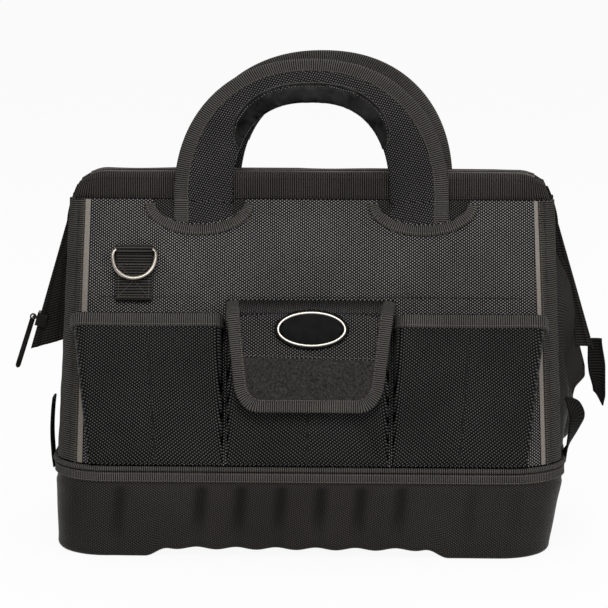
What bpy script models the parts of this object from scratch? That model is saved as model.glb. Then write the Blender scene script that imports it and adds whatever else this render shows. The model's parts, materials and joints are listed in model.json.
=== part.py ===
"""Gate-mouth tool bag: moulded base tub, leaning panels, steel U frames, zip, pockets and handles.

Units are metres, +Z is up, the front faces -Y. The bag stands closed with its zip run to the left end.
"""

import math

import bmesh
import bpy
from mathutils import Matrix, Vector

# Overall form
TUB_WIDTH = 0.401
TUB_DEPTH = 0.227
TUB_RIM_Z = 0.072
TUB_CORNER = 0.045
PANEL_FOOT_Z = 0.0753
RIM_HINGE_Z = 0.272
RIM_HINGE_Y = 0.0205
SEAM_GAP = 0.0003
CUT_OVERRUN = 0.004
SHARP_TURN = math.radians(40)
ROUND_STEPS = 24
WIRE_SIDES = 2

# Moulded base tub
TUB_WALL = 0.005
TUB_FLOOR = 0.004
TUB_TAPER = 0.008
TUB_EDGE = 0.006
TUB_STRAIGHT = 0.012
FOOT_RISE = 0.0065
FOOT_SPAN = 0.200
FOOT_BLEND = 0.020
SCALLOP = 0.0010
FLUTE_PITCH = 0.0314
FLUTE_DEPTH = 0.0032
FLUTE_POWER = 0.5
TUB_LEVEL_SHARES = ((0.30, 1.0), (0.62, 1.0), (0.86, 0.35))
TUB_EDGE_FLUTE_SHARE = 0.6
TUB_STEPS = 66
CORNER_STEPS = 7
END_STEPS = 4

# Stiffener board and binding tape of the base
BOARD_THICKNESS = 0.003
BOARD_MARGIN = 0.004
BINDING_HEIGHT = 0.0125
BINDING_TAPE = 0.0018
BINDING_ROLL = 0.0030
BINDING_ROLL_HEIGHT = 0.0040
BINDING_LIP = 0.0048

# Padded panels and their outer layer
PANEL_FOOT_INSET = 0.0015
PANEL_TAPER = 0.0055
PANEL_TOP_CORNER = 0.010
PANEL_TOP_GAP = 0.0025
PANEL_THICKNESS = 0.0028
LAYER_THICKNESS = 0.0020
PANEL_ROWS = 7
PANEL_CORNER_STEPS = 6

# Tapes, strips and cut-outs on a panel
SIDE_TAPE_WIDTH = 0.0120
SIDE_TAPE_THICKNESS = 0.0016
STRIP_WIDTH = 0.0043
STRIP_THICKNESS = 0.0006
TAPE_SEAT = 0.0006
TAPE_STEPS = 6
CUTOUT_X = 0.0895
CUTOUT_HALF_WIDTH = 0.0370
CUTOUT_DEPTH = 0.0200
CUTOUT_BAND = 0.0070
CUTOUT_BAND_THICKNESS = 0.0014
CUTOUT_STEPS = 14

# Handles
HANDLE_HALF_WIDTH = 0.1100
HANDLE_RISE = 0.1140
HANDLE_OUTER_POWER = 2.2
GRIP_HALF_WIDTH = 0.0620
GRIP_RISE = 0.0790
GRIP_POWER = 2.5
GRIP_WIDTH = 0.0133
GRIP_START = 0.0400
GRIP_LEG_STEPS = 6
GRIP_THICKNESS = 0.0076
HANDLE_BINDING = 0.0095
HANDLE_THICKNESS = 0.0060
HANDLE_BINDING_THICKNESS = 0.0066
HANDLE_LEAN = math.radians(3.0)
HANDLE_SWING = math.radians(75.0)
RIM_FOLD = math.radians(34.3)
HANDLE_STEPS = 40
HANDLE_START = 0.0012
LEG_END_THICKNESS = 0.0025
LEG_END_CLEARANCE = 0.0012

# Rim: steel frame, sleeve and zip placket
RIM_END_INSET = 0.0020
RIM_HEIGHT = 0.0220
RIM_SEAT = 0.0008
SLEEVE_THICKNESS = 0.0126
SLEEVE_CENTRE = 0.0093
SLEEVE_WALL = 0.0010
SLEEVE_STEPS = 6
ROD_RADIUS = 0.0025
ROD_CLEARANCE = 0.0004
ROD_END_INSET = 0.0095
ROD_ARM_STEP = 0.0062
ROD_CORNER = 0.0150
ROD_CORNER_STEPS = 6
PIVOT_DROP = 0.1235
EYE_RADIUS = 0.0070
EYE_HALF_THICKNESS = 0.0022
RIVET_RADIUS = 0.0020
RIVET_CLEARANCE = 0.0004
RIVET_HEAD_RADIUS = 0.0048
RIVET_HEAD = 0.0014
RIVET_TAIL = 0.0008
RIVET_STEPS = 16
PLACKET_THICKNESS = 0.0020
PLACKET_HALF_GAP = 0.0006
FIN_LENGTH = 0.1195
FIN_SPREAD = 0.0290
FIN_SHOULDER_OUT = 0.0045
FIN_SHOULDER_DROP = 0.0200
FIN_INNER_OUT = 0.0055
FIN_INNER_DROP = 0.0500
FIN_TOP_INSET = 0.0180
THROAT_CLEARANCE = 0.0015
THROAT_DROP = 0.0080
COIL_EDGE = 0.0030
FIN_HEEL = 0.0045

# Zip slider, pull and end tab
SLIDER_LENGTH = 0.0110
SLIDER_DEPTH = 0.0085
SLIDER_WIDTH = 0.0104
SLIDER_WALL = 0.0018
SLIDER_DROP = 0.1010
PULL_LENGTH = 0.0460
PULL_WIDTH = 0.0042
PULL_THICKNESS = 0.0022
PULL_REST = math.radians(18.0)
EYE_OUTER = 0.0027
EYE_STEPS = 16
PULL_TIP_STEPS = 6
BAIL_WIRE = 0.0008
BAIL_CLEARANCE = 0.0004
BAIL_REACH = 0.0038
END_TAB_LENGTH = 0.0480
END_TAB_WIDTH = 0.0098
END_TAB_LAP = 0.0050
END_TAB_THICKNESS = 0.0030

# Pockets and flap
SIDE_POCKET_X = 0.1275
SIDE_POCKET_TOP_WIDTH = 0.1180
SIDE_POCKET_FOOT_WIDTH = 0.1020
SIDE_POCKET_FOOT_SHIFT = 0.0070
MID_POCKET_TOP_WIDTH = 0.1280
MID_POCKET_FOOT_WIDTH = 0.1220
POCKET_HEIGHT = 0.1165
POCKET_TOP_DEPTH = 0.0270
POCKET_FOOT_DEPTH = 0.0070
POCKET_WALL = 0.0022
POCKET_CORNER = 0.0090
POCKET_CORNER_STEPS = 4
POCKET_LEVEL_SHARES = (0.0, 0.35, 0.7, 1.0)
POCKET_BINDING = 0.0100
POCKET_BINDING_THICKNESS = 0.0012
REAR_POCKET_X = 0.0960
REAR_POCKET_TOP_WIDTH = 0.1800
REAR_POCKET_FOOT_WIDTH = 0.1640
REAR_POCKET_FOOT_SHIFT = 0.0070
FLAP_HINGE_U = 0.1345
FLAP_HALF_WIDTH = 0.0660
FLAP_FOOT_HALF_WIDTH = 0.0550
FLAP_LENGTH = 0.0880
FLAP_THICKNESS = 0.0022
FLAP_CORNER = 0.0200
FLAP_BEND = 0.0080
FLAP_CLEARANCE = 0.0012
FLAP_BINDING = 0.0090
FLAP_BINDING_THICKNESS = 0.0012
FLAP_STEPS = 12
FLAP_BEND_STEPS = 5
FLAP_CORNER_STEPS = 5
FLAP_TIP_SHARE = 0.925
BADGE_HALF_WIDTH = 0.0280
BADGE_HALF_HEIGHT = 0.0150
BADGE_THICKNESS = 0.0020
BADGE_RING = 0.0016
BADGE_RING_THICKNESS = 0.0030
BADGE_STEPS = 40

# D-ring on its webbing tab
RING_INSET = 0.0535
RING_BAR_U = 0.1740
RING_SIDE_ROOM = 0.0029
RING_CORNER_SHARE = 0.7
RING_DROP = 0.0230
RING_WIRE = 0.00165
RING_STEPS = 12
RING_TILT = math.radians(8.0)
TAB_WIDTH = 0.0290
TAB_TOP = 0.0075
TAB_LENGTH = 0.0480
TAB_THICKNESS = 0.0020
TAB_WRAP = 0.0008
TAB_FOLD_TURN = math.radians(80)
TAB_FOLD_STEPS = 6
RING_BOW_POWER = 0.8

# End gussets and strap loops
GUSSET_THICKNESS = 0.0025
GUSSET_TUCK = 0.0005
GUSSET_FOLD_IN = 0.0220
GUSSET_FOLD_OUT = 0.0200
GUSSET_FOLD_POWER = 1.4
GUSSET_FOLD_IN_SHARE = 0.72
GUSSET_FOLD_OUT_SHARE = 0.88
GUSSET_COLUMNS = 12
GUSSET_ROWS = 9
GUSSET_NOTCH = 0.0085
STRAP_WIDTH = 0.0200
STRAP_THICKNESS = 0.0022
STRAP_RISE = 0.0300
STRAP_REACH = 0.0140
STRAP_LEFT_SHARE = 0.33
STRAP_Y = 0.0560
STRAP_Z = 0.0860

PANEL_FOOT_HALF_WIDTH = TUB_WIDTH / 2 - PANEL_FOOT_INSET
PANEL_TOP_HALF_WIDTH = PANEL_FOOT_HALF_WIDTH - PANEL_TAPER
RIM_HALF_WIDTH = PANEL_TOP_HALF_WIDTH - RIM_END_INSET
ROD_HALF_SPAN = PANEL_TOP_HALF_WIDTH - ROD_END_INSET
FIN_SHOULDER_X = PANEL_TOP_HALF_WIDTH + FIN_SHOULDER_OUT
FIN_BOTTOM_X = FIN_SHOULDER_X + FIN_SPREAD
FIN_INNER_X = PANEL_TOP_HALF_WIDTH + FIN_INNER_OUT
THROAT_X = ROD_HALF_SPAN + EYE_HALF_THICKNESS + RIVET_CLEARANCE + RIVET_HEAD + THROAT_CLEARANCE
PLACKET_END_X = FIN_SHOULDER_X - FIN_TOP_INSET
RING_X = RING_INSET - PANEL_TOP_HALF_WIDTH
RING_HALF_WIDTH = TAB_WIDTH / 2 + RING_SIDE_ROOM
PANEL_SEAT = PANEL_FOOT_Z - SEAM_GAP * 2 - TUB_RIM_Z
LEAN = math.atan2(TUB_DEPTH / 2 - SEAM_GAP - RIM_HINGE_Y, RIM_HINGE_Z - PANEL_FOOT_Z)
FOOT_HINGE_Y = TUB_DEPTH / 2 - SEAM_GAP
FLAP_SEAT = FLAP_THICKNESS / 2 + SEAM_GAP
PANEL_LENGTH = math.hypot(FOOT_HINGE_Y - RIM_HINGE_Y, RIM_HINGE_Z - PANEL_FOOT_Z)


def clear_scene():
    """Remove every object, so that the script can be run again."""
    for thing in list(bpy.data.objects):
        bpy.data.objects.remove(thing, do_unlink=True)


def make_collection(name):
    """A collection in the scene."""
    collection = bpy.data.collections.new(name)
    bpy.context.scene.collection.children.link(collection)
    return collection


clear_scene()
PARTS = make_collection("tool_bag")
CUTTERS = make_collection("cutters")


def material(name, colour, roughness, metallic=0.0):
    """One Principled material."""
    surface = bpy.data.materials.new(name)
    surface.use_nodes = True
    shader = surface.node_tree.nodes["Principled BSDF"]
    shader.inputs["Base Color"].default_value = (*colour, 1.0)
    shader.inputs["Roughness"].default_value = roughness
    shader.inputs["Metallic"].default_value = metallic
    return surface


LOOKS = {
    "ballistic_fabric": ((0.030, 0.030, 0.033), 0.85, 0.0),
    "pocket_fabric": ((0.026, 0.026, 0.029), 0.85, 0.0),
    "binding_tape": ((0.028, 0.022, 0.019), 0.75, 0.0),
    "laminated_base": ((0.034, 0.034, 0.037), 0.80, 0.0),
    "reflective_strip": ((0.17, 0.15, 0.13), 0.45, 0.0),
    "grip_vinyl": ((0.012, 0.012, 0.013), 0.45, 0.0),
    "steel": ((0.55, 0.55, 0.56), 0.30, 1.0),
    "webbing": ((0.018, 0.017, 0.017), 0.80, 0.0),
    "zip_metal": ((0.30, 0.29, 0.27), 0.35, 1.0),
    "badge_black": ((0.010, 0.010, 0.011), 0.30, 0.0),
    "board": ((0.020, 0.020, 0.020), 0.70, 0.0),
}


def finish(thing, look, parent=None):
    """Give an object its own material and its parent."""
    thing.data.materials.clear()
    thing.data.materials.append(material(thing.name + "_" + look, *LOOKS[look]))
    thing.parent = parent
    return thing


def frame_axis(name, parent=None, location=(0, 0, 0), rotation=(0, 0, 0)):
    """An empty that carries the pieces of one moving body."""
    empty = bpy.data.objects.new(name, None)
    PARTS.objects.link(empty)
    empty.parent = parent
    empty.location = location
    empty.rotation_euler = rotation
    return empty


def mesh_object(name, bm, look, parent=None):
    """An object from a bmesh, with outward faces."""
    bmesh.ops.recalc_face_normals(bm, faces=bm.faces)
    mesh = bpy.data.meshes.new(name)
    bm.to_mesh(mesh)
    bm.free()
    mesh.shade_smooth()
    mesh.set_sharp_from_angle(angle=SHARP_TURN)
    thing = bpy.data.objects.new(name, mesh)
    PARTS.objects.link(thing)
    return finish(thing, look, parent)


def loft(name, rings, look, parent=None, strips=False):
    """A closed body through rings of equal count. With strips, the caps run between mirrored points."""
    bm = bmesh.new()
    loops = [[bm.verts.new(point) for point in ring] for ring in rings]
    count = len(rings[0])
    for lower, upper in zip(loops, loops[1:]):
        for i in range(count):
            j = (i + 1) % count
            bm.faces.new((lower[i], lower[j], upper[j], upper[i]))
    for loop in (loops[0], loops[-1]):
        if not strips:
            bm.faces.new(loop)
            continue
        for i in range(count // 2):
            corners = [loop[i], loop[i + 1], loop[count - i - 1], loop[(count - i) % count]]
            bm.faces.new(list(dict.fromkeys(corners)))
    return mesh_object(name, bm, look, parent)


def swept_ring(name, sections, look, parent=None):
    """A closed ring: each section is a closed profile, and the last joins the first."""
    bm = bmesh.new()
    loops = [[bm.verts.new(point) for point in section] for section in sections]
    count = len(sections[0])
    for here, there in zip(loops, loops[1:] + loops[:1]):
        for i in range(count):
            j = (i + 1) % count
            bm.faces.new((here[i], here[j], there[j], there[i]))
    return mesh_object(name, bm, look, parent)


def thick_sheet(name, outer, inner, look, parent=None):
    """A closed sheet between two grids of points of the same size."""
    bm = bmesh.new()
    grids = [[[bm.verts.new(point) for point in row] for row in grid] for grid in (outer, inner)]
    rows = len(outer)
    columns = len(outer[0])
    for grid in grids:
        for r in range(rows - 1):
            for c in range(columns - 1):
                bm.faces.new((grid[r][c], grid[r][c + 1], grid[r + 1][c + 1], grid[r + 1][c]))
    border = [(0, c) for c in range(columns)]
    border += [(r, columns - 1) for r in range(1, rows)]
    border += [(rows - 1, c) for c in range(columns - 2, -1, -1)]
    border += [(r, 0) for r in range(rows - 2, 0, -1)]
    for (r, c), (s, d) in zip(border, border[1:] + border[:1]):
        bm.faces.new((grids[0][r][c], grids[0][s][d], grids[1][s][d], grids[1][r][c]))
    return mesh_object(name, bm, look, parent)


def outline_mesh(name, outlines, thickness):
    """A flat plate as a mesh: filled outlines in XY, extruded about Z, with welded edges."""
    curve = bpy.data.curves.new(name, "CURVE")
    curve.dimensions = "2D"
    curve.fill_mode = "BOTH"
    curve.extrude = thickness / 2
    for outline in outlines:
        spline = curve.splines.new("POLY")
        spline.points.add(len(outline) - 1)
        for point, (x, y) in zip(spline.points, outline):
            point.co = (x, y, 0, 1)
        spline.use_cyclic_u = True
    holder = bpy.data.objects.new(name + "_outline", curve)
    CUTTERS.objects.link(holder)
    mesh = bpy.data.meshes.new_from_object(holder.evaluated_get(bpy.context.evaluated_depsgraph_get()))
    bpy.data.objects.remove(holder, do_unlink=True)
    bm = bmesh.new()
    bm.from_mesh(mesh)
    bmesh.ops.remove_doubles(bm, verts=bm.verts, dist=SEAM_GAP / 10)
    bm.to_mesh(mesh)
    bm.free()
    mesh.name = name
    return mesh


def panel_plate(name, outlines, low, thickness, look, parent):
    """A plate that lies on a panel: outline points are (across, up), low is its distance off the face."""
    mesh = outline_mesh(name, outlines, thickness)
    mesh.transform(Matrix.Rotation(math.pi / 2, 4, "X"))
    mesh.transform(Matrix.Translation((0, -low - thickness / 2, 0)))
    plate = bpy.data.objects.new(name, mesh)
    PARTS.objects.link(plate)
    return finish(plate, look, parent)


def wire(name, points, radius, look, parent=None, cyclic=False):
    """A round wire along points, as a welded mesh."""
    curve = bpy.data.curves.new(name, "CURVE")
    curve.dimensions = "3D"
    curve.bevel_depth = radius
    curve.bevel_resolution = WIRE_SIDES
    curve.use_fill_caps = True
    spline = curve.splines.new("POLY")
    spline.points.add(len(points) - 1)
    for point, place in zip(spline.points, points):
        point.co = (*place, 1)
    spline.use_cyclic_u = cyclic
    holder = bpy.data.objects.new(name + "_path", curve)
    CUTTERS.objects.link(holder)
    mesh = bpy.data.meshes.new_from_object(holder.evaluated_get(bpy.context.evaluated_depsgraph_get()))
    bpy.data.objects.remove(holder, do_unlink=True)
    bm = bmesh.new()
    bm.from_mesh(mesh)
    bmesh.ops.remove_doubles(bm, verts=bm.verts, dist=SEAM_GAP / 10)
    return mesh_object(name, bm, look, parent)


def boolean(thing, cutter, operation):
    """Cut or join with an EXACT Boolean, keeping the cutter as a hidden guide."""
    for collection in list(cutter.users_collection):
        collection.objects.unlink(cutter)
    CUTTERS.objects.link(cutter)
    cutter.hide_render = True
    cutter.display_type = "WIRE"
    step = thing.modifiers.new(operation.lower() + "_" + cutter.name, "BOOLEAN")
    step.object = cutter
    step.operation = operation
    step.solver = "EXACT"


def round_bar(name, radius, start, end, look, parent=None):
    """A cylinder between two points."""
    start = Vector(start)
    end = Vector(end)
    bm = bmesh.new()
    bmesh.ops.create_cone(
        bm, cap_ends=True, segments=ROUND_STEPS, radius1=radius, radius2=radius, depth=(end - start).length
    )
    turn = (end - start).to_track_quat("Z", "Y").to_matrix().to_4x4()
    bmesh.ops.transform(bm, matrix=Matrix.Translation((start + end) / 2) @ turn, verts=bm.verts)
    return mesh_object(name, bm, look, parent)


def arc(centre, radius, start, end, steps):
    """Points on an arc, angles in radians from +X toward +Y."""
    turn = (end - start) / steps
    return [
        (centre[0] + radius * math.cos(start + turn * i), centre[1] + radius * math.sin(start + turn * i))
        for i in range(steps + 1)
    ]


def smooth_step(value, low, high):
    """0 below low, 1 above high, smooth between."""
    share = min(1.0, max(0.0, (value - low) / (high - low)))
    return share * share * (3 - 2 * share)


def tub_half_outline():
    """Front half of the tub's plan, left middle to right middle, as (x, y, normal x, normal y)."""
    half_width = TUB_WIDTH / 2
    half_depth = TUB_DEPTH / 2
    corner_x = half_width - TUB_CORNER
    corner_y = half_depth - TUB_CORNER
    points = [(-half_width, -corner_y * i / END_STEPS, -1.0, 0.0) for i in range(END_STEPS)]
    quarter = math.pi / 2 / CORNER_STEPS
    for i in range(CORNER_STEPS):
        turn = math.pi + quarter * i
        side, front = math.cos(turn), math.sin(turn)
        points.append((-corner_x + TUB_CORNER * side, -corner_y + TUB_CORNER * front, side, front))
    for i in range(TUB_STEPS):
        points.append((-corner_x + 2 * corner_x * i / TUB_STEPS, -half_depth, 0.0, -1.0))
    left = points[: END_STEPS + CORNER_STEPS]
    points.append((corner_x, -half_depth, 0.0, -1.0))
    points += [(-x, y, -side, front) for x, y, side, front in reversed(left)]
    return points


def tub_outline():
    """The whole plan: the front half, then its mirror image."""
    half = tub_half_outline()
    rear = [(x, -y, side, -front) for x, y, side, front in reversed(half[1:-1])]
    return half + rear


def foot_height(x):
    """Height of the tub's underside: 0 at the feet, a scalloped arch between them."""
    inside = 1.0 - smooth_step(abs(x), FOOT_SPAN / 2, FOOT_SPAN / 2 + FOOT_BLEND)
    wave = SCALLOP * math.cos(2 * math.pi * x / FLUTE_PITCH)
    return inside * (FOOT_RISE + wave)


def flute_inset(x, front):
    """Depth of the vertical flutes on the long faces, fading toward the corners."""
    if abs(front) < 1.0:
        return 0.0
    crease = abs(math.cos(math.pi * x / FLUTE_PITCH)) ** FLUTE_POWER
    return FLUTE_DEPTH * (1.0 - crease)


def tub_ring(z, inset, floor_share=0.0, flute_share=0.0):
    """One level of the tub's outside. floor_share is how far it follows the scalloped underside."""
    ring = []
    for x, y, side, front in tub_outline():
        pull = inset + flute_share * flute_inset(x, front)
        ring.append((x - side * pull, y - front * pull, z + floor_share * foot_height(x)))
    return ring


def build_tub():
    """Open moulded tub: fluted sides that taper to four feet with a raised arch between."""
    taper_top = TUB_RIM_Z - TUB_STRAIGHT
    levels = [(0.0, TUB_TAPER + TUB_EDGE, 1.0, 0.0), (TUB_EDGE, TUB_TAPER, 1.0, TUB_EDGE_FLUTE_SHARE)]
    for share, flutes in TUB_LEVEL_SHARES:
        z = TUB_EDGE + (taper_top - TUB_EDGE) * share
        levels.append((z, TUB_TAPER * (1 - share), 1.0 - share, flutes))
    levels.append((taper_top, 0.0, 0.0, 0.0))
    levels.append((TUB_RIM_Z, 0.0, 0.0, 0.0))
    rings = [tub_ring(*level) for level in levels]
    floor_z = FOOT_RISE + SCALLOP + TUB_FLOOR
    rings.append(tub_ring(TUB_RIM_Z, TUB_WALL))
    rings.append(tub_ring(floor_z, TUB_WALL + TUB_TAPER))
    loft("base_tub", rings, "laminated_base", strips=True)
    board = [
        (x - side * (TUB_WALL + TUB_TAPER + BOARD_MARGIN), y - front * (TUB_WALL + TUB_TAPER + BOARD_MARGIN))
        for x, y, side, front in tub_outline()
        if abs(front) < 1.0 or abs(abs(x) - (TUB_WIDTH / 2 - TUB_CORNER)) < SEAM_GAP
    ]
    plate = outline_mesh("base_board", [board], BOARD_THICKNESS)
    plate.transform(Matrix.Translation((0, 0, floor_z + SEAM_GAP + BOARD_THICKNESS / 2)))
    thing = bpy.data.objects.new("base_board", plate)
    PARTS.objects.link(thing)
    finish(thing, "board")


def build_base_binding():
    """Two-step tape that wraps the tub's top edge: a rolled edge above a ribbed band."""
    low = TUB_RIM_Z + PANEL_SEAT - BINDING_HEIGHT
    top = TUB_RIM_Z + PANEL_SEAT
    tape = SEAM_GAP + BINDING_TAPE
    roll = SEAM_GAP + BINDING_ROLL
    profile = [
        (SEAM_GAP, low),
        (tape, low),
        (tape, top - BINDING_ROLL_HEIGHT),
        (roll, top - BINDING_ROLL_HEIGHT + (BINDING_ROLL - BINDING_TAPE)),
        (roll, top - (BINDING_ROLL - BINDING_TAPE)),
        (tape, top),
        (-BINDING_LIP, top),
        (-BINDING_LIP, TUB_RIM_Z + SEAM_GAP),
        (SEAM_GAP, TUB_RIM_Z + SEAM_GAP),
    ]
    straight_end = TUB_WIDTH / 2 - TUB_CORNER
    sections = []
    for x, y, side, front in tub_outline():
        if abs(front) == 1.0 and abs(abs(x) - straight_end) > SEAM_GAP:
            continue
        sections.append([(x + side * out, y + front * out, z) for out, z in profile])
    swept_ring("base_binding", sections, "binding_tape")


def panel_share(z):
    """Share of the way from the panel's foot to its rim hinge."""
    return (z - PANEL_FOOT_Z) / (RIM_HINGE_Z - PANEL_FOOT_Z)


def panel_half_width(z):
    """Half width of the bag's body at a height."""
    return PANEL_FOOT_HALF_WIDTH + (PANEL_TOP_HALF_WIDTH - PANEL_FOOT_HALF_WIDTH) * panel_share(z)


def panel_corner(z):
    """Corner radius of the body at a height, from the tub's corner to the rim's."""
    return TUB_CORNER + (PANEL_TOP_CORNER - TUB_CORNER) * panel_share(z)


def panel_front(z):
    """Distance of the panel's outer face from the middle plane at a height."""
    return FOOT_HINGE_Y + (RIM_HINGE_Y - FOOT_HINGE_Y) * panel_share(z)


def panel_section(z, inset):
    """The panel's section at a height, left end to right end, inset from the outer face."""
    radius = panel_corner(z) - inset
    corner_x = panel_half_width(z) - panel_corner(z)
    corner_y = panel_front(z) - panel_corner(z)
    left = arc((-corner_x, -corner_y), radius, math.pi, math.pi * 1.5, PANEL_CORNER_STEPS)
    right = arc((corner_x, -corner_y), radius, math.pi * 1.5, math.pi * 2, PANEL_CORNER_STEPS)
    middle = [(0.0, -corner_y - radius)]
    return [(x, y, z) for x, y in left + middle + right]


def panel_layer(name, inset, thickness, top, look, axis):
    """One curved layer of a panel between its foot and a top edge, in the panel's own frame."""
    heights = [PANEL_FOOT_Z + (top - PANEL_FOOT_Z) * i / (PANEL_ROWS - 1) for i in range(PANEL_ROWS)]
    inverse = panel_matrix().inverted()
    grids = []
    for depth in (inset, inset + thickness):
        grids.append([[inverse @ Vector(p) for p in panel_section(z, depth)] for z in heights])
    return thick_sheet(name, grids[0], grids[1], look, axis)


def panel_matrix():
    """World matrix of the front panel's frame: its Z runs up the panel, its -Y points outward."""
    return Matrix.Translation((0, -FOOT_HINGE_Y, PANEL_FOOT_Z)) @ Matrix.Rotation(-LEAN, 4, "X")


def smile(half_width, depth, spread=0.0):
    """Lower edge of a cut-out, left to right, as (across, down)."""
    points = []
    for i in range(CUTOUT_STEPS + 1):
        turn = math.pi * i / CUTOUT_STEPS
        points.append((-(half_width + spread) * math.cos(turn), -(depth + spread) * math.sin(turn)))
    return points


def build_cutouts(side, axis, layer, top):
    """Cut the outer layer where the handle legs come out, and sew a binding round each cut edge."""
    for hand, sign in (("left", -1), ("right", 1)):
        centre = sign * CUTOUT_X
        lower = [(centre + x, top + y) for x, y in smile(CUTOUT_HALF_WIDTH, CUTOUT_DEPTH)]
        opening = lower + [(centre + CUTOUT_HALF_WIDTH, top + CUT_OVERRUN)]
        opening += [(centre - CUTOUT_HALF_WIDTH, top + CUT_OVERRUN)]
        cutter = panel_plate(
            f"{side}_{hand}_cutout_cutter", [opening], -CUT_OVERRUN, CUT_OVERRUN * 2, "webbing", axis
        )
        boolean(layer, cutter, "DIFFERENCE")
        outer = [(centre + x, top + y) for x, y in smile(CUTOUT_HALF_WIDTH, CUTOUT_DEPTH, CUTOUT_BAND)]
        binding = panel_plate(
            f"{side}_cutout_binding_{hand}",
            [lower + outer[::-1]],
            -LAYER_THICKNESS / 2,
            LAYER_THICKNESS / 2 + CUTOUT_BAND_THICKNESS,
            "binding_tape",
            axis,
        )
        boolean(layer, binding, "UNION")


def build_leg_ends(side, axis, top):
    """Sewn ends of the handle legs, seen inside the cut-outs and clear of the turning handle above."""
    reach = CUTOUT_DEPTH - LEG_END_CLEARANCE
    face = SEAM_GAP - LAYER_THICKNESS + LEG_END_THICKNESS
    turn = LEAN + HANDLE_LEAN + RIM_FOLD + HANDLE_SWING
    sweep = (HANDLE_BINDING_THICKNESS / 2 + SEAM_GAP - face * math.cos(turn)) / math.sin(turn)
    crest = PANEL_LENGTH - sweep
    for hand, sign in (("left", -1), ("right", 1)):
        outline = []
        inner_x = sign * GRIP_HALF_WIDTH
        outer_x = sign * HANDLE_HALF_WIDTH
        for i in range(CUTOUT_STEPS + 1):
            x = inner_x + (outer_x - inner_x) * i / CUTOUT_STEPS
            share = (x - sign * CUTOUT_X) / CUTOUT_HALF_WIDTH
            outline.append((x, top - reach * math.sqrt(1 - share * share) + LEG_END_CLEARANCE))
        outline += [(outer_x, crest), (inner_x, crest)]
        panel_plate(
            f"{side}_handle_end_{hand}",
            [outline],
            SEAM_GAP - LAYER_THICKNESS,
            LEG_END_THICKNESS,
            "ballistic_fabric",
            axis,
        )


def edge_point(z, across, out):
    """Point on the panel's right corner, across is its distance in from the side as seen from the front."""
    corner = panel_corner(z)
    centre_x = panel_half_width(z) - corner
    centre_y = panel_front(z) - corner
    if across >= corner:
        return Vector((centre_x + corner - across, -centre_y - corner - out, z))
    turn = math.acos(1 - across / corner)
    reach = corner + out
    return Vector((centre_x + reach * math.cos(turn), -centre_y - reach * math.sin(turn), z))


def edge_band(name, sign, start, width, thickness, look, axis):
    """A tape that runs up a panel's corner between two distances from its side."""
    top = RIM_HINGE_Z - PANEL_TOP_GAP
    rows = 2 * PANEL_ROWS - 1
    inverse = panel_matrix().inverted()
    grids = []
    for out in (TAPE_SEAT + thickness, TAPE_SEAT):
        grid = []
        for r in range(rows):
            z = PANEL_FOOT_Z + (top - PANEL_FOOT_Z) * r / (rows - 1)
            row = []
            for c in range(TAPE_STEPS + 1):
                point = edge_point(z, start + width * (c / TAPE_STEPS) ** 2, out)
                row.append(inverse @ Vector((sign * point.x, point.y, point.z)))
            grid.append(row)
        grids.append(grid)
    thick_sheet(name, grids[0], grids[1], look, axis)


def build_side_tapes(side, axis):
    """Binding tapes down both side edges of a panel, following its curved corner."""
    for hand, sign in (("left", -1), ("right", 1)):
        name = f"{side}_side_tape_{hand}"
        edge_band(name, sign, 0.0, SIDE_TAPE_WIDTH, SIDE_TAPE_THICKNESS, "binding_tape", axis)


def build_reflective_strips(axis):
    """Pale strips beside the front panel's side tapes."""
    start = SIDE_TAPE_WIDTH + SEAM_GAP
    for hand, sign in (("left", -1), ("right", 1)):
        name = f"reflective_strip_{hand}"
        edge_band(name, sign, start, STRIP_WIDTH, STRIP_THICKNESS, "reflective_strip", axis)


def pocket_ring(centre, width, depth, inset, u):
    """One level of a pocket's plan: flat back against the panel, rounded front corners."""
    half = width / 2 - inset
    radius = max(POCKET_CORNER - inset, POCKET_WALL)
    radius = min(radius, depth / 2)
    back = SEAM_GAP + inset
    front = SEAM_GAP + depth - inset
    points = [(centre - half, back)]
    left = arc((-half + radius, front - radius), radius, math.pi, math.pi / 2, POCKET_CORNER_STEPS)
    right = arc((half - radius, front - radius), radius, math.pi / 2, 0, POCKET_CORNER_STEPS)
    points += [(centre + x, y) for x, y in left + right]
    points += [(centre + half, back)]
    return [(x, -t, u) for x, t in points]


def build_pocket(name, centre, foot_centre, top_width, foot_width, axis):
    """An open-topped pocket that widens and deepens toward its top."""
    outer = []
    inner = []
    for share in POCKET_LEVEL_SHARES:
        width = foot_width + (top_width - foot_width) * share
        depth = POCKET_FOOT_DEPTH + (POCKET_TOP_DEPTH - POCKET_FOOT_DEPTH) * math.sin(share * math.pi / 2)
        place = foot_centre + (centre - foot_centre) * share
        u = SEAM_GAP + POCKET_HEIGHT * share
        outer.append(pocket_ring(place, width, depth, 0.0, u))
        floor = max(u, SEAM_GAP + POCKET_WALL)
        inner.append(pocket_ring(place, width, depth, POCKET_WALL, floor))
    return loft(name, outer + inner[::-1], "pocket_fabric", axis)


def build_pocket_binding(name, centre, width, axis):
    """Tape folded over a pocket's front edge."""
    height = POCKET_HEIGHT + SEAM_GAP
    rows = []
    for u in (height - POCKET_BINDING, height):
        outline = pocket_ring(centre, width + 2 * SEAM_GAP, POCKET_TOP_DEPTH + SEAM_GAP, 0.0, u)
        outer = pocket_ring(
            centre,
            width + 2 * (SEAM_GAP + POCKET_BINDING_THICKNESS),
            POCKET_TOP_DEPTH + SEAM_GAP + POCKET_BINDING_THICKNESS,
            0.0,
            u,
        )
        rows.append((outer, outline))
    return thick_sheet(name, [r[0] for r in rows], [r[1] for r in rows], "binding_tape", axis)


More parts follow.
